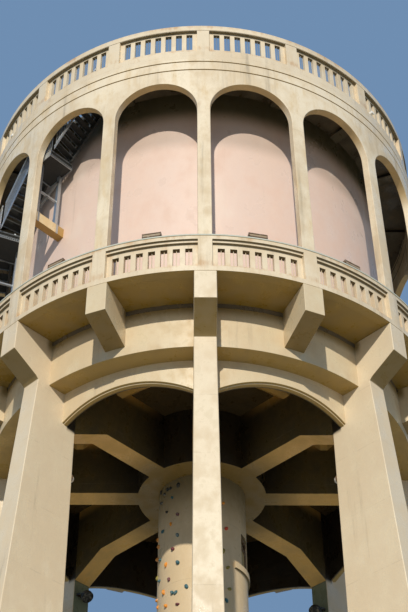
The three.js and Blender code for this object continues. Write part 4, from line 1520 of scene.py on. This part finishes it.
@dataclass
class Stair:
    """The steel stair that climbs round the tank, and the beam under its top landing.

    Attributes:
        columns: The columns behind which its landings stand, upwards.
        strip: How far the second bar of a landing's frame lies over its underside.
        joint: The gap between a flight and a landing.
        stringer: Half the height of the inner channel.
        channel_drop: How far the channel's middle lies under the line of the nosings.
        lap: How far a tread reaches over the one below, and a post or the beam into its neighbour.
        grating_share: The height of a grating's bars, as a share of a nosing's.
        sheets: How far a landing's sheets, painted dark as shade, lie over its underside and under its top.
        foot_plate: Width and thickness of the plates under the posts.
        brace_ends: The brace's clearance at its ends, and its highest reach over its landing's foot.
        hatch_behind: How far the roof hatch reaches behind the foot of the last flight.
        beam: Lowest level, highest level and half the width of the concrete beam.
        strap: Width, thickness and rise over the beam of the straps on it.
    """

    columns: tuple[int, ...] = (-6, -5, -4, -3, -2)
    middle: float = 5.64
    width: float = 0.62
    landing_in: float = 5.25
    landing_out: float = 5.985
    landing_half: float = 0.43
    landing_thick: float = 0.22
    strip: float = 0.07
    top: float = 27.62
    rise: float = 1.09
    deck: float = node_heights("tank_floor")[1]
    roof: float = node_heights("roof_slab")[1]
    deck_steps: int = 8
    flight_steps: int = 6
    roof_steps: int = 10
    joint: float = 0.0003
    web: float = 0.010
    flange: float = 0.06
    stringer: float = 0.13
    channel_drop: float = 0.07
    plate: float = 0.16
    lap: float = 0.02
    tread: float = 0.045
    grating_share: float = 0.7
    grate: float = 0.012
    bars: int = 9
    guard: float = 0.98
    guard_in: float = 0.03
    guard_posts: int = 2
    guard_post: Span = (0.04, 0.04)
    baluster: Span = (0.010, 0.035)
    baluster_gap: float = 0.075
    landing_baluster: Span = (0.010, 0.02)
    landing_balusters: int = 12
    hand_rail: float = 0.045
    knee_rail: float = 0.025
    knee_level: float = 0.10
    rungs: int = 14
    sheets: Span = (0.03, 0.02)
    rib_clear: float = 0.04
    post: float = 0.09
    post_radii: Span = (5.30, 5.91)
    foot_plate: Span = (0.18, 0.015)
    tie: float = 0.05
    first_tie: float = 0.89
    tie_rise: float = 1.25
    tie_clear: float = 0.4
    brace: Span = (0.04, 0.05)
    brace_ends: Span = (0.09, 1.78)
    hatch_behind: float = 0.25
    hatch_width: float = 0.70
    beam: Triple = (25.23, 25.54, 0.105)
    beam_out: float = 6.02
    strap: Triple = (0.06, 0.016, 0.012)

    def landing_level(self, column: int) -> float:
        """Height of the landing at a column."""
        return self.top - (self.columns[-1] - column) * self.rise

    def flight(self, column: int) -> Flight:
        """The flight from a column to the next one.

        Args:
            column: The column at its foot.

        Returns:
            The flight, shortened so that its corners stay clear of the landings.
        """
        on_deck = column < self.columns[0]
        foot = beside(column * BAY, self.middle, 0 if on_deck else self.landing_half, 0)[:2]
        head = beside((column + 1) * BAY, self.middle, -self.landing_half, 0)[:2]
        along = head - foot
        heading = math.atan2(along[1], along[0])
        turns = [abs(math.radians(k * BAY) - heading) for k in (column, column + 1)]
        start, end = (self.width / 2 * math.tan(turn) + self.joint / math.cos(turn) for turn in turns)
        start = 0 if on_deck else start
        length = float(np.linalg.norm(along))
        low = self.deck if on_deck else self.landing_level(column)
        last = column == self.columns[-1]
        high = self.roof if last else self.landing_level(column + 1)
        steps = self.deck_steps if on_deck else self.roof_steps if last else self.flight_steps
        return Flight(foot + along / length * start, heading, length - start - end, low, high, steps, start)

    def stringers(self, bright: Shape, dark: Shape, flight: Flight) -> None:
        """Adds a bright plate on the outer side and a channel on the inner one, painted dark as shade, both
        cut level.

        Args:
            bright: What the plate is added to.
            dark: What the channel is added to, in the steel painted as shade.
            flight: The flight.
        """
        edge, inner, thin = self.width / 2, self.width / 2 - self.flange, self.width / 2 - self.web
        plate = np.array([(edge, 0), (edge, self.plate), (thin, self.plate), (thin, 0)])
        high, lip = self.stringer, self.stringer - self.web
        channel = np.array([
            (edge, -high), (edge, high), (inner, high), (inner, lip),
            (thin, lip), (thin, -lip), (inner, -lip), (inner, -high),
        ]) - (0, self.channel_drop)
        reach = flight.run / (flight.high - flight.low)
        for side, section, shape in ((-1, plate, bright), (1, channel, dark)):
            lowest, highest = section[:, 1].min(), section[:, 1].max()
            along = np.unique([0, -lowest * reach, flight.run - highest * reach, flight.run])[:, None]
            height = np.clip(flight.pitch(along) + section[None, :, 1], flight.low, flight.high)
            shape.grid(flight.at(along, side * section[None, :, 0], height), close_columns=True, caps=True)

    def treads(self, bright: Shape, dark: Shape, flight: Flight) -> None:
        """Adds the treads: a bright nosing bar each, and a grating of upright bars behind it, painted dark
        as shade.

        Args:
            bright: What the nosings are added to.
            dark: What the gratings are added to, in the steel painted as shade.
            flight: The flight.
        """
        going = flight.run / (flight.steps - 1)
        number = np.arange(1, flight.steps)[:, None, None, None]
        along = (number - 1) * going - self.lap
        height = flight.low + (flight.high - flight.low) * number / flight.steps
        aside = np.array([-1, 1])[None, None, :, None] * (self.width / 2 - self.web)
        bar = np.array([(0, 0), (1, 0), (1, -1), (0, -1)])
        places = np.linspace(0, going + self.lap - self.grate, self.bars)[None, :, None, None]
        lower = self.grating_share * self.tread
        for shape, behind, deep in ((bright, places[:, :1], self.tread), (dark, places[:, 1:], lower)):
            shape.grid(
                flight.at(along + behind + self.grate * bar[:, 0], aside, height + deep * bar[:, 1]),
                close_columns=True,
                caps=True,
            )

    def guards(self, shape: Shape, flight: Flight) -> None:
        """Adds a handrail with balusters on the outer side and one with posts on the inner side.

        Args:
            shape: What they are added to.
            flight: The flight.
        """
        side = flight.at(0, 1, 0) - flight.at(0, 0, 0)
        edge = self.width / 2 - self.guard_in
        for aside, count, section in (
            (-edge, int(flight.run / self.baluster_gap), rectangle(*self.baluster)),
            (edge, self.guard_posts, rectangle(*self.guard_post)),
        ):
            along = np.linspace(self.guard_in, flight.run - self.guard_in, count + 1)
            foot = flight.at(along, aside, flight.pitch(along) + self.stringer / 2)
            head = flight.at(along, aside, flight.pitch(along) + self.guard)
            shape.bars(foot, head, section, side)
            for level, size in self.rails(self.stringer + self.knee_level):
                ends = flight.at(along[[0, -1]], aside, flight.pitch(along[[0, -1]]) + level)
                shape.bars(ends[0], ends[1], circle(size / 2, 12), side)

    def rails(self, knee_level: float) -> tuple[Span, Span]:
        """The height and thickness of a guard's hand rail and of its knee rail, at a level given."""
        return (self.guard, self.hand_rail), (knee_level, self.knee_rail)

    def build_flight(self, number: int, column: int) -> None:
        """Builds a flight.

        Args:
            number: Its number from the deck up.
            column: The column at its foot.
        """
        flight = self.flight(column).closed()
        bright, dark = Shape(), Shape()
        self.stringers(bright, dark, flight)
        self.treads(bright, dark, flight)
        self.guards(bright, flight)
        bright.put_in(f"steel_flight_{number}", ZINC, [f"stair_flight_{number}"])
        # The inner channels and gratings, painted dark as shade.
        dark.put_in(f"flight_gratings_{number}", SHADED_STEEL)

    def build_landing(self, number: int, column: int) -> None:
        """Builds a landing: its deck in a frame, its trestle and its guard.

        Args:
            number: Its number from the deck up.
            column: The column behind which it stands.
        """
        angle = column * BAY
        top = self.landing_level(column)
        foot = self.beam[1] if column == self.columns[-1] else self.deck
        bright, dark = Shape(), Shape()
        self.landing_deck(bright, dark, angle, top)
        self.trestle(bright, dark, angle, foot, top - self.landing_thick)
        # The sheets, ribs and brace, painted dark as shade.
        dark.put_in(f"landing_gratings_{number}", SHADED_STEEL)
        self.landing_guard(bright, angle, top)
        bright.put_in(f"steel_landing_{number}", ZINC, [f"stair_landing_{number}"])

    def landing_deck(self, bright: Shape, dark: Shape, angle: float, top: float) -> None:
        """Adds a landing's frame of plates, bars and rungs, with two sheets and ribs inside, painted dark
        as shade.

        Args:
            bright: What the frame is added to.
            dark: What the sheets and ribs are added to, in the steel painted as shade.
            angle: The landing's angle in degrees.
            top: Its level.
        """
        under, half, web = top - self.landing_thick, self.landing_half, self.web
        inner, outer = self.landing_in, self.landing_out
        aside = beside(angle, 0, 1, 0)
        for side in ((inner, inner + web), (outer - web, outer)):
            bright.slab(upright(*side, under, top), half, angle)
        ends = np.array([-1, 1])[:, None] * (half - web)
        bar, rung = rectangle(2 * web, 2 * web), rectangle(web, 2.5 * web)
        levels = np.array([under + web, under + self.strip, top - web])
        bright.bars(beside(angle, inner, ends, levels), beside(angle, outer, ends, levels), bar, aside)
        rungs = np.linspace(inner, outer, self.rungs)
        foot, head = (beside(angle, rungs, ends, level) for level in levels[:2])
        bright.bars(foot, head, rung, aside)
        lower, upper = self.sheets
        for low in (under + lower, top - upper):
            dark.slab(upright(inner + web, outer - web, low, low + self.grate), half - 2 * web, angle)
        ribs = levels[1:] + (self.rib_clear, -self.rib_clear)
        dark.bars(beside(angle, inner, ends, ribs), beside(angle, outer, ends, ribs), bar, aside)

    def trestle(self, bright: Shape, dark: Shape, angle: float, foot: float, head: float) -> None:
        """Adds what a landing stands on: two posts on foot plates, level ties and a brace.

        Args:
            bright: What the posts and ties are added to.
            dark: What the brace is added to, in the steel painted as shade.
            angle: The landing's angle in degrees.
            foot: The level that it stands on.
            head: The landing's underside.
        """
        aside = beside(angle, 0, 1, 0)
        posts = np.array(self.post_radii)
        inner, outer = self.post_radii
        lowest = beside(angle, posts, 0, foot)
        wide, thick = self.foot_plate
        for width, top in ((self.post, head + self.lap), (wide, foot + thick)):
            bright.bars(lowest, beside(angle, posts, 0, top), rectangle(width, width), aside)
        ties = np.arange(foot + self.first_tie, head - self.tie_clear, self.tie_rise)
        tie = rectangle(self.tie, self.tie)
        bright.bars(beside(angle, inner, 0, ties), beside(angle, outer, 0, ties), tie, aside)
        clear, reach = self.brace_ends
        low, high = foot + clear, min(head - clear, foot + reach)
        start, end = beside(angle, outer, 0, low), beside(angle, inner, 0, high)
        dark.bars(start, end, rectangle(*self.brace), aside)

    def landing_guard(self, shape: Shape, angle: float, top: float) -> None:
        """Adds the guard on a landing's outer side.

        Args:
            shape: What it is added to.
            angle: The landing's angle in degrees.
            top: Its level.
        """
        out = beside(angle, 1, 0, 0)
        radius = self.landing_out - self.guard_in
        half = self.landing_half - self.guard_in
        reach = np.linspace(-half, half, self.landing_balusters)
        low, high = (beside(angle, radius, reach, level) for level in (top - 0.05, top + self.guard))
        shape.bars(low, high, rectangle(*self.landing_baluster), out)
        for level, size in self.rails(self.knee_level):
            ends = beside(angle, radius, reach[[0, -1]], top + level)
            shape.bars(ends[0], ends[1], circle(size / 2, 12), out)

    def build_beam(self) -> None:
        """Builds the concrete beam from tank to column, and the straps that hold the posts on it."""
        low, high, half = self.beam
        angle = self.columns[-1] * BAY
        shape = Shape()
        shape.slab(upright(node_radius("tank_wall") - self.lap, self.beam_out, low, high), half, angle)
        shape.put_in("stair_bearing_beam", OCHRE_CONCRETE, ["stair_beam"], bevel=0.012)
        straps = Shape()
        posts, faces = np.meshgrid(self.post_radii, [-half, half])
        wide, thick, rise = self.strap
        foot, head = beside(angle, posts, faces, low), beside(angle, posts, faces, high + rise)
        straps.bars(foot, head, rectangle(wide, thick), beside(angle, 1, 0, 0))
        straps.put_in("beam_straps", ZINC)

    def build(self, tank: Tank) -> None:
        """Builds the stair and the roof that its last flight goes through.

        Args:
            tank: The tank whose roof has the hatch.
        """
        self.build_beam()
        for number, column in enumerate(self.columns, start=1):
            self.build_landing(number, column)
        for number, column in enumerate(range(self.columns[0] - 1, self.columns[-1] + 1), start=1):
            self.build_flight(number, column)
        last = self.flight(self.columns[-1])
        length = self.hatch_behind + last.run + self.joint
        middle = last.at(length / 2 - self.hatch_behind, 0, 0)[:2]
        tank.build_roof(middle, last.heading, (length, self.hatch_width))


@dataclass
class Lamps:
    """Lamps and small fittings.

    They are the bar lamps on the balustrade, the bulkhead lamps on two piers, the floods at the
    back, the strip around the coping and the boxes on the parapet.

    Attributes:
        lens_back: How far a bar lamp's lens stands back in its tray.
        bulkhead_aside: How far a bulkhead lamp stands from its pier's middle line.
        bulkhead_ring: Inner radius, outer radius, edge depth and mouth depth of its ring.
        dome: The radius of its dome, where it starts and how deep it is.
        strip: Inner radius, outer radius, lowest and highest level of the strip.
        box_places: The angle and the height of each box.
        box_depths: How far a box reaches into the parapet, and out of it at its foot and its head.
        flood_off: How far the back of a flood lamp stands off its pier.
        flood_can: The depth in metres and the share of its radius at each point of its profile.
    """

    rail_top: float = node_heights("gallery_rail_1")[1]
    bar_length: float = 0.44
    bar_height: float = 0.115
    bar_depth: float = 0.12
    bar_radius: float = 6.13
    bar_lift: float = 0.09
    bar_rim: float = 0.024
    bar_foot: Span = (0.03, 0.05)
    foot_share: float = 0.6
    lens_back: float = 0.012
    bulkhead_level: float = 18.21
    bulkhead_aside: float = 0.15
    bulkhead_ring: tuple[float, float, float, float] = (0.088, 0.10, 0.04, 0.05)
    dome: Triple = (0.087, 0.03, 0.1)
    strip: tuple[float, float, float, float] = (6.236, 6.256, 22.652, 22.69)
    box_places: tuple[Span, ...] = ((48.9, 29.82), (-57.9, 29.68))
    box_size: float = 0.09
    box_depths: Triple = (0.10, 0.03, 0.02)
    flood_levels: Span = (19.00, 18.60)
    flood_radius: float = 0.16
    flood_tilt: float = 50.0
    flood_off: float = 0.12
    flood_can: tuple[Span, ...] = (
        (0.0, 0.35), (0.02, 0.6), (0.07, 0.85), (0.12, 1.0),
        (0.20, 1.0), (0.205, 0.94), (0.17, 0.88), (0.17, 0.01),
    )
    pier_in: float = 4.323

    def bar_lamp(self, number: int, angle: float) -> None:
        """Builds a bar lamp: an open tray that holds a lens, on two feet.

        Args:
            number: Its number.
            angle: The middle of its bay in degrees.
        """
        low = self.rail_top + self.bar_lift
        high = low + self.bar_height
        middle = (low + high) / 2
        front, back = self.bar_radius + self.bar_depth / 2, self.bar_radius - self.bar_depth / 2
        rim, half = self.bar_rim, self.bar_length / 2
        aside = beside(angle, 0, 1, 0)
        tray = Shape()
        tray.slab([
            (back, low), (front, low), (front, low + rim), (back + rim, low + rim),
            (back + rim, high - rim), (front, high - rim), (front, high), (back, high),
        ], half, angle)
        ends = np.array([-half + rim / 2, half - rim / 2])
        start, end = beside(angle, back, ends, middle), beside(angle, front, ends, middle)
        tray.bars(start, end, rectangle(rim, self.bar_height), aside)
        feet = np.array([-half, half]) * self.foot_share
        start, end = (beside(angle, self.bar_radius, feet, level) for level in (self.rail_top, low))
        tray.bars(start, end, rectangle(*self.bar_foot), aside)
        tray.put_in(f"bar_lamp_{number}", LAMP_COAT)
        lens = Shape()
        lens.slab(upright(back + rim, front - self.lens_back, low + rim, high - rim), half - rim, angle)
        lens.put_in(f"bar_lamp_lens_{number}", AMBER)

    def bulkhead(self, number: int, angle: float) -> None:
        """Builds a bulkhead lamp on a pier's inner face, at its front edge: a ring and an opal dome.

        Both are (depth, girth) profiles turned about a level axis. The dome's girth falls as the root
        of (1 - s squared), s being the share of its depth.

        Args:
            number: Its number.
            angle: The pier's angle in degrees.
        """
        aside = -math.copysign(self.bulkhead_aside, angle)
        turn = np.arange(20) * 2 * np.pi / 20
        inner, outer, edge, mouth = self.bulkhead_ring
        radius, start, deep = self.dome
        share = np.linspace(0, 0.999, 9)
        for part, profile, finish in (
            ("base", [(0.0, outer), (edge, outer), (mouth, inner), (0.0, inner)], LAMP_COAT),
            ("dome", np.stack([start + deep * share, radius * np.sqrt(1 - share**2)], axis=1), OPAL),
        ):
            depth, girth = np.array(profile).T[:, :, None]
            side, up = aside + girth * np.cos(turn), self.bulkhead_level + girth * np.sin(turn)
            points = beside(angle, self.pier_in - depth, side, up)
            shape = Shape()
            shape.grid(points, close_columns=True, caps=part == "dome", close_rows=part == "base")
            shape.put_in(f"bulkhead_{part}_{number}", finish)

    def build_strip(self) -> None:
        """Builds the flat white bar that runs round in front of the coping and the columns."""
        shape = Shape()
        shape.ring(upright(*self.strip))
        shape.put_in("gallery_strip", STRIP_COAT, bevel=0.003)

    def build_boxes(self) -> None:
        """Builds the small white boxes on the outside of the parapet, a little deeper at their foot."""
        face, half = node_radius("parapet_1"), self.box_size / 2
        inward, foot, head = self.box_depths
        back = face - inward
        shape = Shape()
        for angle, level in self.box_places:
            low, high = level - half, level + half
            shape.slab([(back, low), (face + foot, low), (face + head, high), (back, high)], half, angle)
        shape.put_in("parapet_boxes", WHITE_COAT, bevel=0.005)

    def flood(self, number: int, angle: float, level: float) -> None:
        """Builds a round flood lamp on a bracket, turned down towards the middle.

        Its can is a profile of (depth, girth) points turned about an axis that slopes down inwards.

        Args:
            number: Its number.
            angle: The pier's angle in degrees.
            level: Its height.
        """
        tilt = math.radians(self.flood_tilt)
        size, clear = self.flood_radius, 0.012
        profile = np.array(self.flood_can)
        depth, girth = profile[:, :1], profile[:, 1:] * size
        turn = np.arange(24)[None, :] * 2 * np.pi / 24
        inward = depth * math.cos(tilt) + girth * np.sin(turn) * math.sin(tilt)
        down = depth * math.sin(tilt) - girth * np.sin(turn) * math.cos(tilt)
        points = beside(angle, self.pier_in - self.flood_off - inward, girth * np.cos(turn), level - down)
        shape = Shape()
        shape.grid(points, close_columns=True, caps=True)
        arms = np.array([-size - clear, size + clear])
        centre = self.pier_in - self.flood_off - 0.1 * math.cos(tilt)
        high, low = level - 0.05, level - 0.08
        start, end = beside(angle, self.pier_in, arms, high), beside(angle, centre, arms, low)
        shape.bars(start, end, rectangle(0.008, 0.04), beside(angle, 0, 1, 0))
        start, end = (beside(angle, self.pier_in - 0.01, arm, high) for arm in arms)
        shape.bars(start, end, rectangle(0.02, 0.06), beside(angle, 1, 0, 0))
        shape.put_in(f"flood_lamp_{number}", BLACK_COAT)

    def build(self) -> None:
        """Builds all lamps and fittings."""
        for number in range(COLUMNS):
            self.bar_lamp(number + 1, (number + 0.5) * BAY)
        for number, column in enumerate((-2, 2), start=1):
            self.bulkhead(number, column * BAY)
        for number, (column, level) in enumerate(zip((-6, 6), self.flood_levels), start=1):
            self.flood(number, column * BAY, level)
        self.build_strip()
        self.build_boxes()


@dataclass
class Studio:
    """The floor, the light and the camera.

    Attributes:
        key_travel: The way that the key light's rays go.
        key_angle: The light's width in degrees, which softens shadows.
        camera_pitch: How far it looks up, in radians.
        camera_yaw: How far it is turned to the left, in radians.
        camera_roll: How far it leans, in radians.
        focal_pixels: Its focal length in pixels of the photograph.
        sensor: The width of its sensor in millimetres.
    """

    floor_half: float = 150.0
    floor_level: float = -0.002
    floor_colour: Colour = (0.62, 0.54, 0.40)
    floor_wear: float = 0.94
    key_travel: Triple = (0.0993, 0.9951, -0.4642)
    key_power: float = 3.0
    key_colour: Colour = (1.0, 0.95, 0.86)
    key_angle: float = 1.0
    fill_colour: Colour = (0.16, 0.27, 0.44)
    fill_power: float = 1.0
    camera_place: Triple = (-0.441, -26.33, 1.6)
    camera_pitch: float = 0.754260489
    camera_yaw: float = -0.020113
    camera_roll: float = -0.00852660919
    focal_pixels: float = 1297.68
    image_height: int = 612
    sensor: float = 36.0
    view_range: float = 500.0

    def floor(self) -> None:
        """Lays a plain pale floor."""
        side = np.linspace(-self.floor_half, self.floor_half, 3)
        x, y = np.meshgrid(side, side)
        mesh = bpy.data.meshes.new("floor")
        shape = Shape()
        shape.grid(np.stack([x, y, np.full_like(x, self.floor_level)], axis=-1))
        mesh.from_pydata(shape.points[0].tolist(), [], shape.faces)
        sheet = NodeSheet("pale_floor")
        cloud = sheet.noise((0.2, 0.2, 0.2), 3)
        worn = tuple(self.floor_wear * value for value in self.floor_colour)
        sheet.coat(sheet.blend(cloud, self.floor_colour, worn), 0.9)
        mesh.materials.append(sheet.material)
        floor = bpy.data.objects.new("floor", mesh)
        bpy.context.scene.collection.objects.link(floor)

    def light(self) -> None:
        """Sets one soft key light and an even fill."""
        key = bpy.data.lights.new("key light", "SUN")
        key.energy = self.key_power
        key.angle = math.radians(self.key_angle)
        key.color = self.key_colour
        lamp = bpy.data.objects.new("key light", key)
        lamp.rotation_mode = "QUATERNION"
        lamp.rotation_quaternion = Vector(self.key_travel).to_track_quat("-Z", "Y")
        bpy.context.scene.collection.objects.link(lamp)
        world = bpy.data.worlds.new("studio fill")
        world.use_nodes = True
        background = world.node_tree.nodes["Background"]
        background.inputs["Color"].default_value = (*self.fill_colour, 1)
        background.inputs["Strength"].default_value = self.fill_power
        bpy.context.scene.world = world
        bpy.context.scene.view_settings.view_transform = "Standard"

    def camera(self) -> None:
        """Sets the camera at the photograph's place: its axes from yaw, pitch and roll."""
        pitch, yaw, roll = self.camera_pitch, self.camera_yaw, self.camera_roll
        right = np.array([math.cos(yaw), math.sin(yaw), 0])
        level = np.array([-math.sin(yaw), math.cos(yaw), 0])
        ahead = level * math.cos(pitch) + np.array([0, 0, math.sin(pitch)])
        above = np.cross(right, ahead)
        x_axis = right * math.cos(roll) + above * math.sin(roll)
        y_axis = above * math.cos(roll) - right * math.sin(roll)
        turn = Matrix(np.stack([x_axis, y_axis, -ahead], axis=1).tolist())
        data = bpy.data.cameras.new("camera")
        data.sensor_width = self.sensor
        data.lens = self.focal_pixels * self.sensor / self.image_height
        data.clip_end = self.view_range
        camera = bpy.data.objects.new("camera", data)
        camera.matrix_world = Matrix.Translation(self.camera_place) @ turn.to_4x4()
        bpy.context.scene.collection.objects.link(camera)
        bpy.context.scene.camera = camera

    def build(self) -> None:
        """Sets the whole studio."""
        self.floor()
        self.light()
        self.camera()


def main() -> None:
    """Builds the studio, then the tower from the ground up."""
    logging.basicConfig(level=logging.INFO, format="%(name)s: %(message)s")
    Studio().build()
    Substructure().build()
    Shaft().build()
    tank = Tank()
    tank.build_wall()
    Gallery().build()
    Arcade().build()
    tank.build_ribs()
    Stair().build(tank)
    Lamps().build()


if __name__ == "__main__":
    main()
